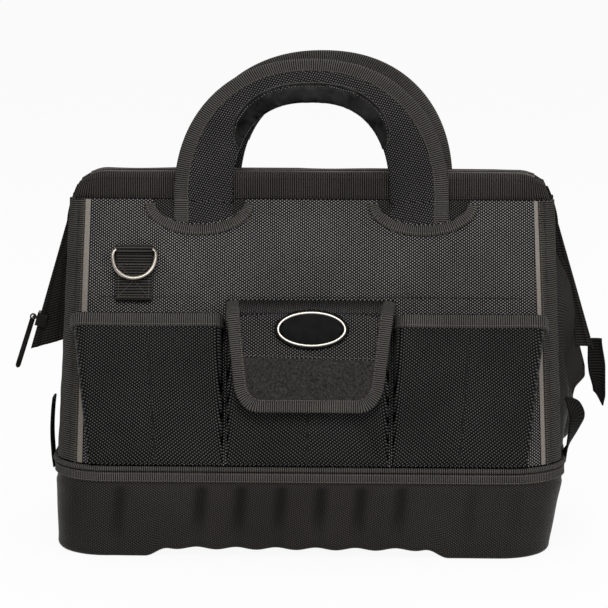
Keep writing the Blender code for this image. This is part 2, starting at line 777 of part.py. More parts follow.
def build_front_pockets(axis):
    """Three front pockets side by side."""
    places = (
        ("front_pocket_left", -SIDE_POCKET_X, -SIDE_POCKET_X + SIDE_POCKET_FOOT_SHIFT, "side"),
        ("front_pocket_middle", 0.0, 0.0, "middle"),
        ("front_pocket_right", SIDE_POCKET_X, SIDE_POCKET_X - SIDE_POCKET_FOOT_SHIFT, "side"),
    )
    for name, centre, foot_centre, kind in places:
        if kind == "side":
            build_pocket(name, centre, foot_centre, SIDE_POCKET_TOP_WIDTH, SIDE_POCKET_FOOT_WIDTH, axis)
            build_pocket_binding(name + "_binding", centre, SIDE_POCKET_TOP_WIDTH, axis)
        else:
            build_pocket(name, centre, foot_centre, MID_POCKET_TOP_WIDTH, MID_POCKET_FOOT_WIDTH, axis)


def build_rear_pockets(axis):
    """Two plain pockets on the rear panel."""
    for hand, sign in (("left", -1), ("right", 1)):
        name = f"rear_pocket_{hand}"
        foot_centre = sign * (REAR_POCKET_X - REAR_POCKET_FOOT_SHIFT)
        centre = sign * REAR_POCKET_X
        build_pocket(name, centre, foot_centre, REAR_POCKET_TOP_WIDTH, REAR_POCKET_FOOT_WIDTH, axis)
        build_pocket_binding(name + "_binding", centre, REAR_POCKET_TOP_WIDTH, axis)


def flap_reach():
    """Distance of the flap's middle line from its hinge where it hangs in front of the pocket."""
    return POCKET_TOP_DEPTH + SEAM_GAP * 2 + FLAP_CLEARANCE + FLAP_THICKNESS / 2 - FLAP_SEAT


def flap_path():
    """Middle line of the flap in its hinge's frame, as (out, down, length from the hinge)."""
    out = flap_reach()
    drop = FLAP_HINGE_U - POCKET_HEIGHT - SEAM_GAP - FLAP_CLEARANCE - FLAP_THICKNESS
    slope = math.atan2(drop, out)
    corner = (out, drop)
    before = (corner[0] - FLAP_BEND * math.cos(slope), corner[1] - FLAP_BEND * math.sin(slope))
    after = (corner[0], corner[1] + FLAP_BEND)
    path = [(0.0, 0.0), before]
    for i in range(1, FLAP_BEND_STEPS):
        share = i / FLAP_BEND_STEPS
        a = [before[k] + (corner[k] - before[k]) * share for k in (0, 1)]
        b = [corner[k] + (after[k] - corner[k]) * share for k in (0, 1)]
        path.append(tuple(a[k] + (b[k] - a[k]) * share for k in (0, 1)))
    path.append(after)
    lower = after[1] + (FLAP_LENGTH - after[1]) / 3
    path += [(out, lower), (out, FLAP_LENGTH - FLAP_CORNER)]
    for i in range(1, FLAP_CORNER_STEPS + 1):
        turn = math.pi / 2 * FLAP_TIP_SHARE * i / FLAP_CORNER_STEPS
        path.append((out, FLAP_LENGTH - FLAP_CORNER * (1 - math.sin(turn))))
    return path


def flap_half_width(down):
    """Half width of the flap at a distance below its hinge, with round lower corners."""
    share = min(1.0, max(0.0, down / FLAP_LENGTH))
    half = FLAP_HALF_WIDTH + (FLAP_FOOT_HALF_WIDTH - FLAP_HALF_WIDTH) * share
    over = down - (FLAP_LENGTH - FLAP_CORNER)
    if over > 0:
        half -= FLAP_CORNER - math.sqrt(max(0.0, FLAP_CORNER**2 - over**2))
    return half


def path_normals(path):
    """Unit normals of a path in its plane, to the left of its direction."""
    normals = []
    for i in range(len(path)):
        a = path[max(0, i - 1)]
        b = path[min(len(path) - 1, i + 1)]
        length = math.hypot(b[0] - a[0], b[1] - a[1])
        normals.append(((b[1] - a[1]) / length, -(b[0] - a[0]) / length))
    return normals


def flap_rows(low, high):
    """Two grids of a sheet along the flap's path between two distances off its middle line."""
    path = flap_path()
    normals = path_normals(path)
    grids = []
    for off in (high, low):
        grid = []
        for (out, down), (n_out, n_down) in zip(path, normals):
            half = flap_half_width(down)
            columns = [-half + 2 * half * i / FLAP_STEPS for i in range(FLAP_STEPS + 1)]
            grid.append([(x, -(out + n_out * off), -(down + n_down * off)) for x in columns])
        grids.append(grid)
    return grids


def build_flap(axis):
    """Flap over the middle pocket, its bound edge and its oval badge."""
    outer, inner = flap_rows(-FLAP_THICKNESS / 2, FLAP_THICKNESS / 2)
    thick_sheet("flap", outer, inner, "ballistic_fabric", axis)
    face = flap_reach() + FLAP_THICKNESS / 2 + SEAM_GAP
    straight = FLAP_LENGTH - FLAP_CORNER
    edge = []
    inside = []
    top = badge_top_clear()
    for i in range(2):
        down = top + (straight - top) * i
        edge.append((flap_half_width(down), -down))
        inside.append((flap_half_width(down) - FLAP_BINDING, -down))
    inner_corner = FLAP_CORNER - FLAP_BINDING
    for i in range(1, FLAP_CORNER_STEPS + 2):
        rise = math.sin(math.pi / 2 * i / (FLAP_CORNER_STEPS + 1))
        down = straight + FLAP_CORNER * rise
        edge.append((flap_half_width(down), -down))
        inner_half = flap_half_width(straight) - FLAP_BINDING
        inner_half -= inner_corner * (1 - math.sqrt(max(0.0, 1 - rise**2)))
        inside.append((inner_half, -(straight + inner_corner * rise)))
    outline = [(-x, y) for x, y in edge] + edge[::-1]
    hollow = [(-x, y) for x, y in inside] + inside[::-1]
    panel_plate("flap_binding", [outline + hollow[::-1]], face, FLAP_BINDING_THICKNESS, "binding_tape", axis)
    centre = -(top + BADGE_HALF_HEIGHT)
    oval = oval_points(BADGE_HALF_WIDTH, BADGE_HALF_HEIGHT, centre)
    hole = oval_points(BADGE_HALF_WIDTH - BADGE_RING, BADGE_HALF_HEIGHT - BADGE_RING, centre)
    plate = oval_points(
        BADGE_HALF_WIDTH - BADGE_RING - SEAM_GAP, BADGE_HALF_HEIGHT - BADGE_RING - SEAM_GAP, centre
    )
    panel_plate("badge_ring", [oval, hole], face, BADGE_RING_THICKNESS, "steel", axis)
    panel_plate("badge_plate", [plate], face, BADGE_THICKNESS, "badge_black", axis)


def badge_top_clear():
    """Distance below the hinge where the flap's face is flat: the path's point after its bend."""
    return flap_path()[FLAP_BEND_STEPS + 1][1]


def oval_points(half_width, half_height, centre):
    """Points of an oval on the flap."""
    turn = 2 * math.pi / BADGE_STEPS
    return [
        (half_width * math.cos(turn * i), centre + half_height * math.sin(turn * i))
        for i in range(BADGE_STEPS)
    ]


def build_ring_tab(side, axis):
    """Webbing tab sewn on the panel: it lies under the D-ring's bar and folds over it."""
    bar_t = ring_bar_offset()
    reach = RING_WIRE + TAB_WRAP
    back = SEAM_GAP + TAB_THICKNESS
    top = RING_BAR_U + TAB_TOP
    bottom = top - TAB_LENGTH
    profile = [(SEAM_GAP, bottom), (SEAM_GAP, top), (back, top)]
    profile += arc((bar_t, RING_BAR_U), reach + TAB_THICKNESS, TAB_FOLD_TURN, -TAB_FOLD_TURN, TAB_FOLD_STEPS)
    profile += [(back + TAB_THICKNESS + SEAM_GAP, RING_BAR_U - TAB_TOP), (back + TAB_THICKNESS, bottom)]
    gap = arc((bar_t, RING_BAR_U), reach, -math.pi, math.pi, TAB_FOLD_STEPS * 2)[:-1]
    sections = []
    for sign in (-1, 1):
        x = RING_X + sign * TAB_WIDTH / 2
        sections.append([(x, -t, u) for t, u in profile])
    tab = loft(f"{side}_ring_tab", sections, "webbing", axis)
    hole_sections = []
    for sign in (-1, 1):
        x = RING_X + sign * (TAB_WIDTH / 2 + CUT_OVERRUN)
        hole_sections.append([(x, -t, u) for t, u in gap])
    hole = loft(f"{side}_ring_tab_hole", hole_sections, "webbing", axis)
    boolean(tab, hole, "DIFFERENCE")


def ring_bar_offset():
    """Distance of the D-ring's bar from the panel's face."""
    return SEAM_GAP + TAB_THICKNESS + RING_WIRE + TAB_WRAP


def build_d_ring(side, axis):
    """Wire D-ring: a straight bar and a bow, in its hinge's frame."""
    corner = RING_SIDE_ROOM * RING_CORNER_SHARE
    bow = []
    for i in range(RING_STEPS + 1):
        turn = math.pi * i / RING_STEPS
        x = -RING_HALF_WIDTH * math.cos(turn)
        z = -RING_DROP * math.sin(turn) ** RING_BOW_POWER
        bow.append((x, 0.0, z - corner))
    points = [(RING_HALF_WIDTH - corner, 0.0, 0.0), (-RING_HALF_WIDTH + corner, 0.0, 0.0)] + bow
    wire(f"{side}_d_ring", points, RING_WIRE, "steel", axis, cyclic=True)


def arch(half_width, rise, power, low_share, high_share, steps):
    """Points of an arch from the left leg over the top to the right leg, as (across, up)."""
    points = []
    for i in range(steps + 1):
        turn = math.pi * (low_share + (high_share - low_share) * i / steps)
        side = math.cos(turn)
        up = math.sin(turn)
        x = -math.copysign(abs(side) ** (2 / power), side) * half_width
        points.append((x, rise * max(0.0, up) ** (2 / power)))
    return points


def lifted(points):
    """Arch points with the feet of both legs raised to the handle's lower end."""
    return [(x, max(y, HANDLE_START)) for x, y in points]


def build_handle(side, axis):
    """Padded arch handle: ribbed outer binding, padded band and a smooth grip inside the arch."""
    outer = arch(HANDLE_HALF_WIDTH, HANDLE_RISE, HANDLE_OUTER_POWER, 0, 1, HANDLE_STEPS)
    tape = HANDLE_BINDING
    inside = arch(HANDLE_HALF_WIDTH - tape, HANDLE_RISE - tape, HANDLE_OUTER_POWER, 0, 1, HANDLE_STEPS)
    pad_out = tape + SEAM_GAP
    pad_outer = arch(HANDLE_HALF_WIDTH - pad_out, HANDLE_RISE - pad_out, HANDLE_OUTER_POWER, 0, 1, HANDLE_STEPS)
    binding = lifted(outer) + lifted(inside)[::-1]
    low = math.asin((GRIP_START / GRIP_RISE) ** (GRIP_POWER / 2)) / math.pi
    grip_inner = arch(GRIP_HALF_WIDTH, GRIP_RISE, GRIP_POWER, low, 1 - low, HANDLE_STEPS)
    grip_outer = arch(GRIP_HALF_WIDTH + GRIP_WIDTH, GRIP_RISE + GRIP_WIDTH, GRIP_POWER, low, 1 - low, HANDLE_STEPS)
    grip_gap = GRIP_WIDTH + SEAM_GAP
    pad_grip = arch(GRIP_HALF_WIDTH + grip_gap, GRIP_RISE + grip_gap, GRIP_POWER, low, 1 - low, HANDLE_STEPS)
    ledge = GRIP_START - SEAM_GAP * 2
    leg = arch(GRIP_HALF_WIDTH, GRIP_RISE, GRIP_POWER, 0, low, GRIP_LEG_STEPS)
    left_leg = [(x, min(y, ledge)) for x, y in lifted(leg)]
    left_leg[-1] = (left_leg[-1][0], ledge)
    pad_left = pad_grip[0][0]
    pad_inner = left_leg + [(pad_left, ledge)] + pad_grip + [(-pad_left, ledge)]
    pad_inner += [(-x, y) for x, y in reversed(left_leg)]
    pad = lifted(pad_outer) + pad_inner[::-1]
    pieces = (
        ("band", pad, HANDLE_THICKNESS, "ballistic_fabric"),
        ("binding", binding, HANDLE_BINDING_THICKNESS, "binding_tape"),
        ("grip", grip_inner + grip_outer[::-1], GRIP_THICKNESS, "grip_vinyl"),
    )
    for name, outline, thickness, look in pieces:
        low_face = -thickness / 2
        panel_plate(f"{side}_handle_{name}", [outline], low_face, thickness, look, axis)


def build_sleeve(side, axis):
    """Rim tape folded over the steel rod, open below, with rounded upper corners."""
    centre = RIM_HINGE_Y - SLEEVE_CENTRE
    outer = SLEEVE_THICKNESS / 2
    inner = outer - SLEEVE_WALL
    profile = [(-outer, RIM_SEAT)]
    profile += arc((0, RIM_HEIGHT - outer), outer, math.pi, 0, SLEEVE_STEPS)
    profile += [(outer, RIM_SEAT), (inner, RIM_SEAT)]
    profile += arc((0, RIM_HEIGHT - outer), inner, 0, math.pi, SLEEVE_STEPS)
    profile += [(-inner, RIM_SEAT)]
    sections = []
    for sign in (-1, 1):
        x = sign * RIM_HALF_WIDTH
        sections.append([(x, centre + y, z) for y, z in profile])
    return loft(f"{side}_rim_tape", sections, "binding_tape", axis)


def build_steel_frame(side, axis, arm_x):
    """Steel U frame: a rod through the rim sleeve, bent down at both ends to riveted eyes."""
    to_middle = RIM_HINGE_Y
    top = RIM_HEIGHT - SLEEVE_WALL - ROD_CLEARANCE - ROD_RADIUS
    rod_y = RIM_HINGE_Y - SLEEVE_CENTRE
    eye_top = -PIVOT_DROP + EYE_RADIUS / 2
    corner = arc((-arm_x + ROD_CORNER, top - ROD_CORNER), ROD_CORNER, math.pi, math.pi / 2, ROD_CORNER_STEPS)
    left = [(-arm_x, to_middle, eye_top)] + [(x, rod_y, z) for x, z in corner]
    points = left + [(-x, y, z) for x, y, z in reversed(left)]
    frame = wire(f"{side}_steel_frame", points, ROD_RADIUS, "steel", axis)
    for hand, sign in (("left", -1), ("right", 1)):
        low = (sign * arm_x - EYE_HALF_THICKNESS, to_middle, -PIVOT_DROP)
        high = (sign * arm_x + EYE_HALF_THICKNESS, to_middle, -PIVOT_DROP)
        eye = round_bar(f"{side}_{hand}_eye", EYE_RADIUS, low, high, "steel", axis)
        boolean(frame, eye, "UNION")
    for hand, sign in (("left", -1), ("right", 1)):
        reach = EYE_HALF_THICKNESS + CUT_OVERRUN
        low = (sign * arm_x - reach, to_middle, -PIVOT_DROP)
        high = (sign * arm_x + reach, to_middle, -PIVOT_DROP)
        hole_radius = RIVET_RADIUS + RIVET_CLEARANCE
        hole = round_bar(f"{side}_{hand}_eye_hole", hole_radius, low, high, "steel", axis)
        boolean(frame, hole, "DIFFERENCE")


def build_rivets():
    """Rivets at the ends of the mouth: each is held in the front frame's eye, beside the rear frame's eye."""
    inner_x = ROD_HALF_SPAN - EYE_HALF_THICKNESS - RIVET_CLEARANCE
    outer_x = ROD_HALF_SPAN + EYE_HALF_THICKNESS + RIVET_CLEARANCE
    for hand, sign in (("left", -1), ("right", 1)):
        profile = [
            (0.0, outer_x + RIVET_HEAD),
            (RIVET_HEAD_RADIUS, outer_x + RIVET_HEAD),
            (RIVET_HEAD_RADIUS, outer_x),
            (RIVET_RADIUS, outer_x),
            (RIVET_RADIUS, inner_x),
            (RIVET_HEAD_RADIUS, inner_x),
            (RIVET_HEAD_RADIUS, inner_x - RIVET_TAIL),
            (0.0, inner_x - RIVET_TAIL),
        ]
        turned(f"rivet_{hand}", profile, RIM_HINGE_Y, -PIVOT_DROP, sign)


def turned(name, profile, y, z, sign):
    """A turned piece about an axis along X, from a profile of (radius, along)."""
    bm = bmesh.new()
    rings = []
    for i in range(RIVET_STEPS):
        turn = 2 * math.pi * i / RIVET_STEPS
        side = math.cos(turn)
        up = math.sin(turn)
        places = [(sign * along, y + radius * side, z + radius * up) for radius, along in profile]
        rings.append([bm.verts.new(place) for place in places])
    for here, there in zip(rings, rings[1:] + rings[:1]):
        for i in range(len(profile) - 1):
            bm.faces.new((here[i], here[i + 1], there[i + 1], there[i]))
    bmesh.ops.remove_doubles(bm, verts=bm.verts, dist=SEAM_GAP / 10)
    return mesh_object(name, bm, "steel", FRONT_FRAME)


def build_placket(side, axis):
    """Zip placket: a strip of fabric that stands along the mouth between the rim tapes."""
    low_z = RIM_SEAT + FIN_HEEL
    top = RIM_HEIGHT - SEAM_GAP * 4
    half = PLACKET_END_X
    outline = [(-half, low_z), (half, low_z), (half, top), (-half, top)]
    low = -(RIM_HINGE_Y - PLACKET_HALF_GAP)
    return panel_plate(f"{side}_placket", [outline], low, PLACKET_THICKNESS, "webbing", axis)


def build_tails(axis):
    """Zip tails past both ends of the mouth: two layers of fabric joined along the coil's edge."""
    top = RIM_HEIGHT - SEAM_GAP * 4
    bottom = -FIN_LENGTH
    upper = RIM_SEAT + FIN_HEEL
    near = PLACKET_END_X + SEAM_GAP
    outer = FIN_SHOULDER_X - FIN_HEEL * 2
    outline = [
        (near, top),
        (outer, upper),
        (FIN_SHOULDER_X, -FIN_SHOULDER_DROP),
        (FIN_BOTTOM_X, bottom),
        (FIN_BOTTOM_X - FIN_HEEL, bottom - SEAM_GAP * 4),
        (FIN_INNER_X, bottom + FIN_HEEL),
        (FIN_INNER_X, -FIN_INNER_DROP),
        (THROAT_X, FIN_INNER_X - THROAT_X - FIN_INNER_DROP),
        (THROAT_X, -THROAT_DROP),
        (near, upper),
    ]
    slot = [
        (outer - COIL_EDGE, upper),
        (FIN_SHOULDER_X - COIL_EDGE, -FIN_SHOULDER_DROP),
        (FIN_BOTTOM_X - COIL_EDGE, bottom),
        (FIN_BOTTOM_X - COIL_EDGE, bottom - CUT_OVERRUN),
        (near - CUT_OVERRUN, bottom - CUT_OVERRUN),
        (near - CUT_OVERRUN, upper),
    ]
    half = PLACKET_HALF_GAP + PLACKET_THICKNESS
    for hand, sign in (("left", -1), ("right", 1)):
        body = [(sign * x, z) for x, z in outline]
        gap = [(sign * x, z) for x, z in slot]
        tail = panel_plate(f"zip_tail_{hand}", [body], -half, half * 2, "webbing", axis)
        cutter = panel_plate(
            f"zip_tail_{hand}_slot", [gap], -PLACKET_HALF_GAP, PLACKET_HALF_GAP * 2, "webbing", axis
        )
        boolean(tail, cutter, "DIFFERENCE")


def fin_direction():
    """Unit vector up the left tail's straight outer edge."""
    drop = FIN_LENGTH - FIN_SHOULDER_DROP
    return Vector((FIN_BOTTOM_X - FIN_SHOULDER_X, 0, drop)).normalized()


def fin_edge(drop):
    """Point on the left tail's outer edge at a distance below the rim hinge, in the world."""
    share = (drop - FIN_SHOULDER_DROP) / (FIN_LENGTH - FIN_SHOULDER_DROP)
    x = FIN_SHOULDER_X + (FIN_BOTTOM_X - FIN_SHOULDER_X) * share
    return Vector((-x, 0, RIM_HINGE_Z - drop))


def build_slider(axis):
    """Zip slider: a channel round the left tail's outer edge with a bail for the pull."""
    half = SLIDER_WIDTH / 2
    slot = half - SLIDER_WALL
    outline = [
        (-SLIDER_WALL, -half),
        (SLIDER_DEPTH - SLIDER_WALL, -half),
        (SLIDER_DEPTH - SLIDER_WALL, -slot),
        (SEAM_GAP, -slot),
        (SEAM_GAP, slot),
        (SLIDER_DEPTH - SLIDER_WALL, slot),
        (SLIDER_DEPTH - SLIDER_WALL, half),
        (-SLIDER_WALL, half),
    ]
    mesh = outline_mesh("zip_slider", [outline], SLIDER_LENGTH)
    tilt = Vector((0, 0, 1)).rotation_difference(fin_direction()).to_matrix().to_4x4()
    mesh.transform(Matrix.Translation((-SEAM_GAP * 2, 0, 0)))
    mesh.transform(tilt)
    slider = bpy.data.objects.new("zip_slider", mesh)
    PARTS.objects.link(slider)
    finish(slider, "zip_metal", axis)
    half = PULL_THICKNESS / 2 + BAIL_CLEARANCE + BAIL_WIRE
    near = -SLIDER_WALL / 2 - SEAM_GAP * 2
    far = -SLIDER_WALL - BAIL_REACH
    path = [(near, -half, 0), (far, -half, 0), (far, half, 0), (near, half, 0)]
    bail = wire("slider_bail", [tilt @ Vector(point) for point in path], BAIL_WIRE, "zip_metal", axis)
    boolean(slider, bail, "UNION")
    return tilt @ Vector((far, 0, 0))


def build_pull(axis):
    """Zip pull: a flat rod with an eye round the slider's bail."""
    half = PULL_WIDTH / 2
    hole = BAIL_WIRE + BAIL_CLEARANCE
    start = math.acos(half / EYE_OUTER)
    outline = arc((0, 0), EYE_OUTER, -start, math.pi + start, EYE_STEPS)
    outline += arc((0, half - PULL_LENGTH), half, -math.pi, 0, PULL_TIP_STEPS)
    eye = arc((0, 0), hole, 0, 2 * math.pi, EYE_STEPS)[:-1]
    mesh = outline_mesh("zip_pull", [outline, eye], PULL_THICKNESS)
    mesh.transform(Matrix.Rotation(math.pi / 2, 4, "X"))
    pull = bpy.data.objects.new("zip_pull", mesh)
    PARTS.objects.link(pull)
    finish(pull, "zip_metal", axis)


def build_end_tab(axis):
    """Loose end of the zip's tape that hangs beside the right tail's foot."""
    near = FIN_BOTTOM_X + SEAM_GAP
    far = near + END_TAB_WIDTH
    top = -FIN_LENGTH + END_TAB_LAP
    foot = top - END_TAB_LENGTH
    slant = END_TAB_WIDTH / 2
    outline = [
        (near, top),
        (far - slant, top),
        (far, top - END_TAB_LENGTH / 2),
        (far, foot),
        (near + slant, foot),
        (near, foot + slant),
    ]
    panel_plate("zip_end_tab", [outline], -END_TAB_THICKNESS / 2, END_TAB_THICKNESS, "webbing", axis)


def gusset_point(sign, s, t, inset, fold, fold_share):
    """A point of an end gusset. s runs front (-1) to rear (1), t runs from foot to top edge."""
    across = abs(s)
    foot = Vector((panel_half_width(PANEL_FOOT_Z), s * gusset_end_y(PANEL_FOOT_Z), PANEL_FOOT_Z))
    notch = RIM_HINGE_Z - PIVOT_DROP - GUSSET_NOTCH
    top_z = RIM_HINGE_Z - PANEL_TOP_GAP
    top_x = panel_half_width(notch) + (panel_half_width(top_z) - panel_half_width(notch)) * across
    top_y = s * gusset_end_y(top_z)
    top = Vector((top_x, top_y, notch + (top_z - notch) * across))
    point = foot.lerp(top, t)
    bulge = fold * (math.sin(math.pi * min(1.0, t / fold_share)) ** 2) * (1 - across) ** GUSSET_FOLD_POWER
    return Vector((sign * (point.x - inset + bulge), point.y, point.z))


def gusset_end_y(z):
    """Half depth of the gusset at a height: it meets the panels' side edges."""
    return panel_front(z) - panel_corner(z) - GUSSET_TUCK


def build_gussets():
    """End gussets: the left one folds inward and the right one bulges out, as the closed mouth leaves them."""
    hands = (
        ("left", -1, -GUSSET_FOLD_IN, GUSSET_FOLD_IN_SHARE),
        ("right", 1, GUSSET_FOLD_OUT, GUSSET_FOLD_OUT_SHARE),
    )
    for hand, sign, fold, fold_share in hands:
        grids = []
        for inset in (0.0, GUSSET_THICKNESS):
            grid = []
            for r in range(GUSSET_ROWS):
                t = r / (GUSSET_ROWS - 1)
                columns = [-1 + 2 * c / GUSSET_COLUMNS for c in range(GUSSET_COLUMNS + 1)]
                grid.append([gusset_point(sign, s, t, inset, fold, fold_share) for s in columns])
            grids.append(grid)
        thick_sheet(f"end_gusset_{hand}", grids[0], grids[1], "ballistic_fabric")


def build_strap_loops():
    """Webbing loops sewn into the foot seams of the ends."""
    for hand, sign, reach in (("left", -1, STRAP_REACH * STRAP_LEFT_SHARE), ("right", 1, STRAP_REACH)):
        base_x = TUB_WIDTH / 2 + SEAM_GAP + BINDING_ROLL + SEAM_GAP
        half = STRAP_WIDTH / 2
        low = (base_x, TUB_RIM_Z - BINDING_HEIGHT + PANEL_SEAT)
        foot = (base_x, TUB_RIM_Z + PANEL_SEAT)
        crest = (base_x + reach, STRAP_Z + STRAP_RISE / 2)
        head = (base_x - STRAP_THICKNESS / 2, STRAP_Z + STRAP_RISE)
        inner = [low, foot, crest, head]
        outer = [(x + STRAP_THICKNESS, z + STRAP_THICKNESS / 3) for x, z in inner]
        outer[0] = (low[0] + STRAP_THICKNESS, low[1])
        outer[-1] = (head[0] + STRAP_THICKNESS, head[1] + STRAP_THICKNESS)
        sections = []
        for y in (-STRAP_Y - half, -STRAP_Y + half):
            sections.append([(sign * x, y, z) for x, z in inner + outer[::-1]])
        loft(f"strap_loop_{hand}", sections, "webbing")


def build_side(side, panel_axis, rim_axis, handle_axis, ring_axis, arm_x):
    """Everything that the front and the rear have alike."""
    seam = RIM_HINGE_Z + RIM_SEAT - SEAM_GAP
    inset = LAYER_THICKNESS + SEAM_GAP
    panel_layer(f"{side}_panel", inset, PANEL_THICKNESS, seam, "ballistic_fabric", panel_axis)
    edge = RIM_HINGE_Z - PANEL_TOP_GAP
    layer = panel_layer(f"{side}_outer_layer", 0.0, LAYER_THICKNESS, edge, "ballistic_fabric", panel_axis)
    top = PANEL_LENGTH - PANEL_TOP_GAP / math.cos(LEAN)
    build_cutouts(side, panel_axis, layer, top)
    build_leg_ends(side, panel_axis, top)
    build_side_tapes(side, panel_axis)
    build_ring_tab(side, panel_axis)
    build_d_ring(side, ring_axis)
    build_sleeve(side, rim_axis)
    build_steel_frame(side, rim_axis, arm_x)
    build_placket(side, rim_axis)
    build_handle(side, handle_axis)


def side_axes(side, turn):
    """The chain of frames that one side hangs on: panel, rim frame, handle and D-ring."""
    sign = -1 if turn == 0 else 1
    panel_axis = frame_axis(
        f"{side}_panel_axis", None, (0, sign * FOOT_HINGE_Y, PANEL_FOOT_Z), (-LEAN, 0, turn)
    )
    rim_axis = frame_axis(f"{side}_rim_axis", panel_axis, (0, 0, PANEL_LENGTH), (LEAN, 0, 0))
    handle_axis = frame_axis(f"{side}_handle_axis", rim_axis, (0, 0, 0), (-HANDLE_LEAN, 0, 0))
    ring_axis = frame_axis(
        f"{side}_ring_axis", panel_axis, (RING_X, -ring_bar_offset(), RING_BAR_U), (-RING_TILT, 0, 0)
    )
    return panel_axis, rim_axis, handle_axis, ring_axis


FRONT_PANEL, FRONT_FRAME, FRONT_HANDLE, FRONT_RING = side_axes("front", 0)
REAR_PANEL, REAR_FRAME, REAR_HANDLE, REAR_RING = side_axes("rear", math.pi)

build_tub()
build_base_binding()
build_gussets()
build_strap_loops()
build_side("front", FRONT_PANEL, FRONT_FRAME, FRONT_HANDLE, FRONT_RING, ROD_HALF_SPAN)
build_side("rear", REAR_PANEL, REAR_FRAME, REAR_HANDLE, REAR_RING, ROD_HALF_SPAN - ROD_ARM_STEP)
build_rivets()
build_reflective_strips(FRONT_PANEL)
build_front_pockets(FRONT_PANEL)
build_rear_pockets(REAR_PANEL)
FLAP_AXIS = frame_axis("flap_axis", FRONT_PANEL, (0, -FLAP_SEAT, FLAP_HINGE_U))
build_flap(FLAP_AXIS)
TAIL_AXIS = frame_axis("tail_axis", None, (0, 0, RIM_HINGE_Z))
build_tails(TAIL_AXIS)
SLIDER_AXIS = frame_axis("slider_axis", None, fin_edge(SLIDER_DROP))
BAIL_PLACE = build_slider(SLIDER_AXIS)
PULL_AXIS = frame_axis("pull_axis", SLIDER_AXIS, BAIL_PLACE, (0, PULL_REST, 0))
build_pull(PULL_AXIS)
build_end_tab(TAIL_AXIS)
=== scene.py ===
# %% [markdown]
# Gate-mouth tool bag: the looks.
#
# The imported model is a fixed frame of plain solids. Every cell below dresses one part of it: woven panels,
# a moulded tub, folded tapes, padded handles, a zip and its hardware. New pieces are surfaces worked out
# with numpy, because cloth that is sewn flat keeps simple rules: a section carried along a path, or a grid
# between two edges.

# %% Load the frame
import json
import math

import bpy
import numpy as np
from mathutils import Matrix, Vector


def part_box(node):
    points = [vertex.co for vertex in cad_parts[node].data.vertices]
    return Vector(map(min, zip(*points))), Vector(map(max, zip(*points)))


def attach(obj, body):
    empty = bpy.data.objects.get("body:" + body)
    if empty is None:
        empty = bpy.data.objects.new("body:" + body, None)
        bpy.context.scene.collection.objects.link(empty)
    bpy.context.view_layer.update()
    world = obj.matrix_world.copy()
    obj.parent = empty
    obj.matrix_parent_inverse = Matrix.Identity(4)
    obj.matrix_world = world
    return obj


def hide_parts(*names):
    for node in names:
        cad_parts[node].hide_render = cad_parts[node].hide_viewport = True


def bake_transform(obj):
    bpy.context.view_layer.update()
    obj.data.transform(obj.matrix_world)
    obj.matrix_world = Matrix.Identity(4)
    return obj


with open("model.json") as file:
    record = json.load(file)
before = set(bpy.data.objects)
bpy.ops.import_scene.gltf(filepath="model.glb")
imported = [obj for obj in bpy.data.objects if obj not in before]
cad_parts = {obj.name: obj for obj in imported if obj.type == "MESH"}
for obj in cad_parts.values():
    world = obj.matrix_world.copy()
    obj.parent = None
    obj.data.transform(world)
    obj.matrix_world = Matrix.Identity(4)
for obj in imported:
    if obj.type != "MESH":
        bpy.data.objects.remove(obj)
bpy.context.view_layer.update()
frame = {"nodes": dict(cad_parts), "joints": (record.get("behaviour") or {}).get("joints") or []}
HINGE = {joint["name"]: joint.get("pos_m") for joint in frame["joints"]}

# %% [markdown]
# The bag's main surface is the leaning panel. It turns about its foot, its top edge is the rim's hinge, and
# its corners are wide at the tub and narrow at the rim. All places on it are given as a distance across,
# a distance up the panel and a distance off its face, so they are measured from the two hinges.

# %% Driving sizes, read from the hinges and the solids
MM = 0.001
FOOT_Y = -HINGE["mouth_open"][1]
FOOT_Z = HINGE["mouth_open"][2]
RIM_Y = -HINGE["front_rim_fold"][1]
RIM_Z = HINGE["front_rim_fold"][2]
LEAN = math.atan2(FOOT_Y - RIM_Y, RIM_Z - FOOT_Z)
PANEL_LENGTH = math.hypot(FOOT_Y - RIM_Y, RIM_Z - FOOT_Z)
TUB_HALF_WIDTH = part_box("base_tub")[1].x
TUB_HALF_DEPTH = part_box("base_tub")[1].y
TUB_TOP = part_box("base_tub")[1].z
RIM_HALF_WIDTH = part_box("front_rim_tape")[1].x
FOOT_HALF_WIDTH = TUB_HALF_WIDTH - 1.5 * MM
TOP_HALF_WIDTH = FOOT_HALF_WIDTH - 5.5 * MM
FOOT_CORNER = 45 * MM
TOP_CORNER = 10 * MM
SEAM_GAP = 0.3 * MM
PANEL_EDGE_Z = RIM_Z + 0.4 * MM
PANEL_EDGE_U = PANEL_LENGTH - 2.5 * MM / math.cos(LEAN)
print("panel leans", round(math.degrees(LEAN), 1), "degrees and is", round(PANEL_LENGTH / MM), "mm long")


def at_height(z, foot, top):
    """A size that changes evenly from the panel's foot to its rim hinge."""
    return foot + (top - foot) * (np.asarray(z) - FOOT_Z) / (RIM_Z - FOOT_Z)


def on_panel(x, u, t, rear=False):
    """World points for x across, u up the panel and t off its face. The rear is the front turned round."""
    x, u, t = np.broadcast_arrays(x, u, t)
    y = -FOOT_Y + u * math.sin(LEAN) - t * math.cos(LEAN)
    z = FOOT_Z + u * math.cos(LEAN) + t * math.sin(LEAN)
    points = np.stack([x, y, z], -1).astype(float)
    return points * np.array([-1, -1, 1]) if rear else points


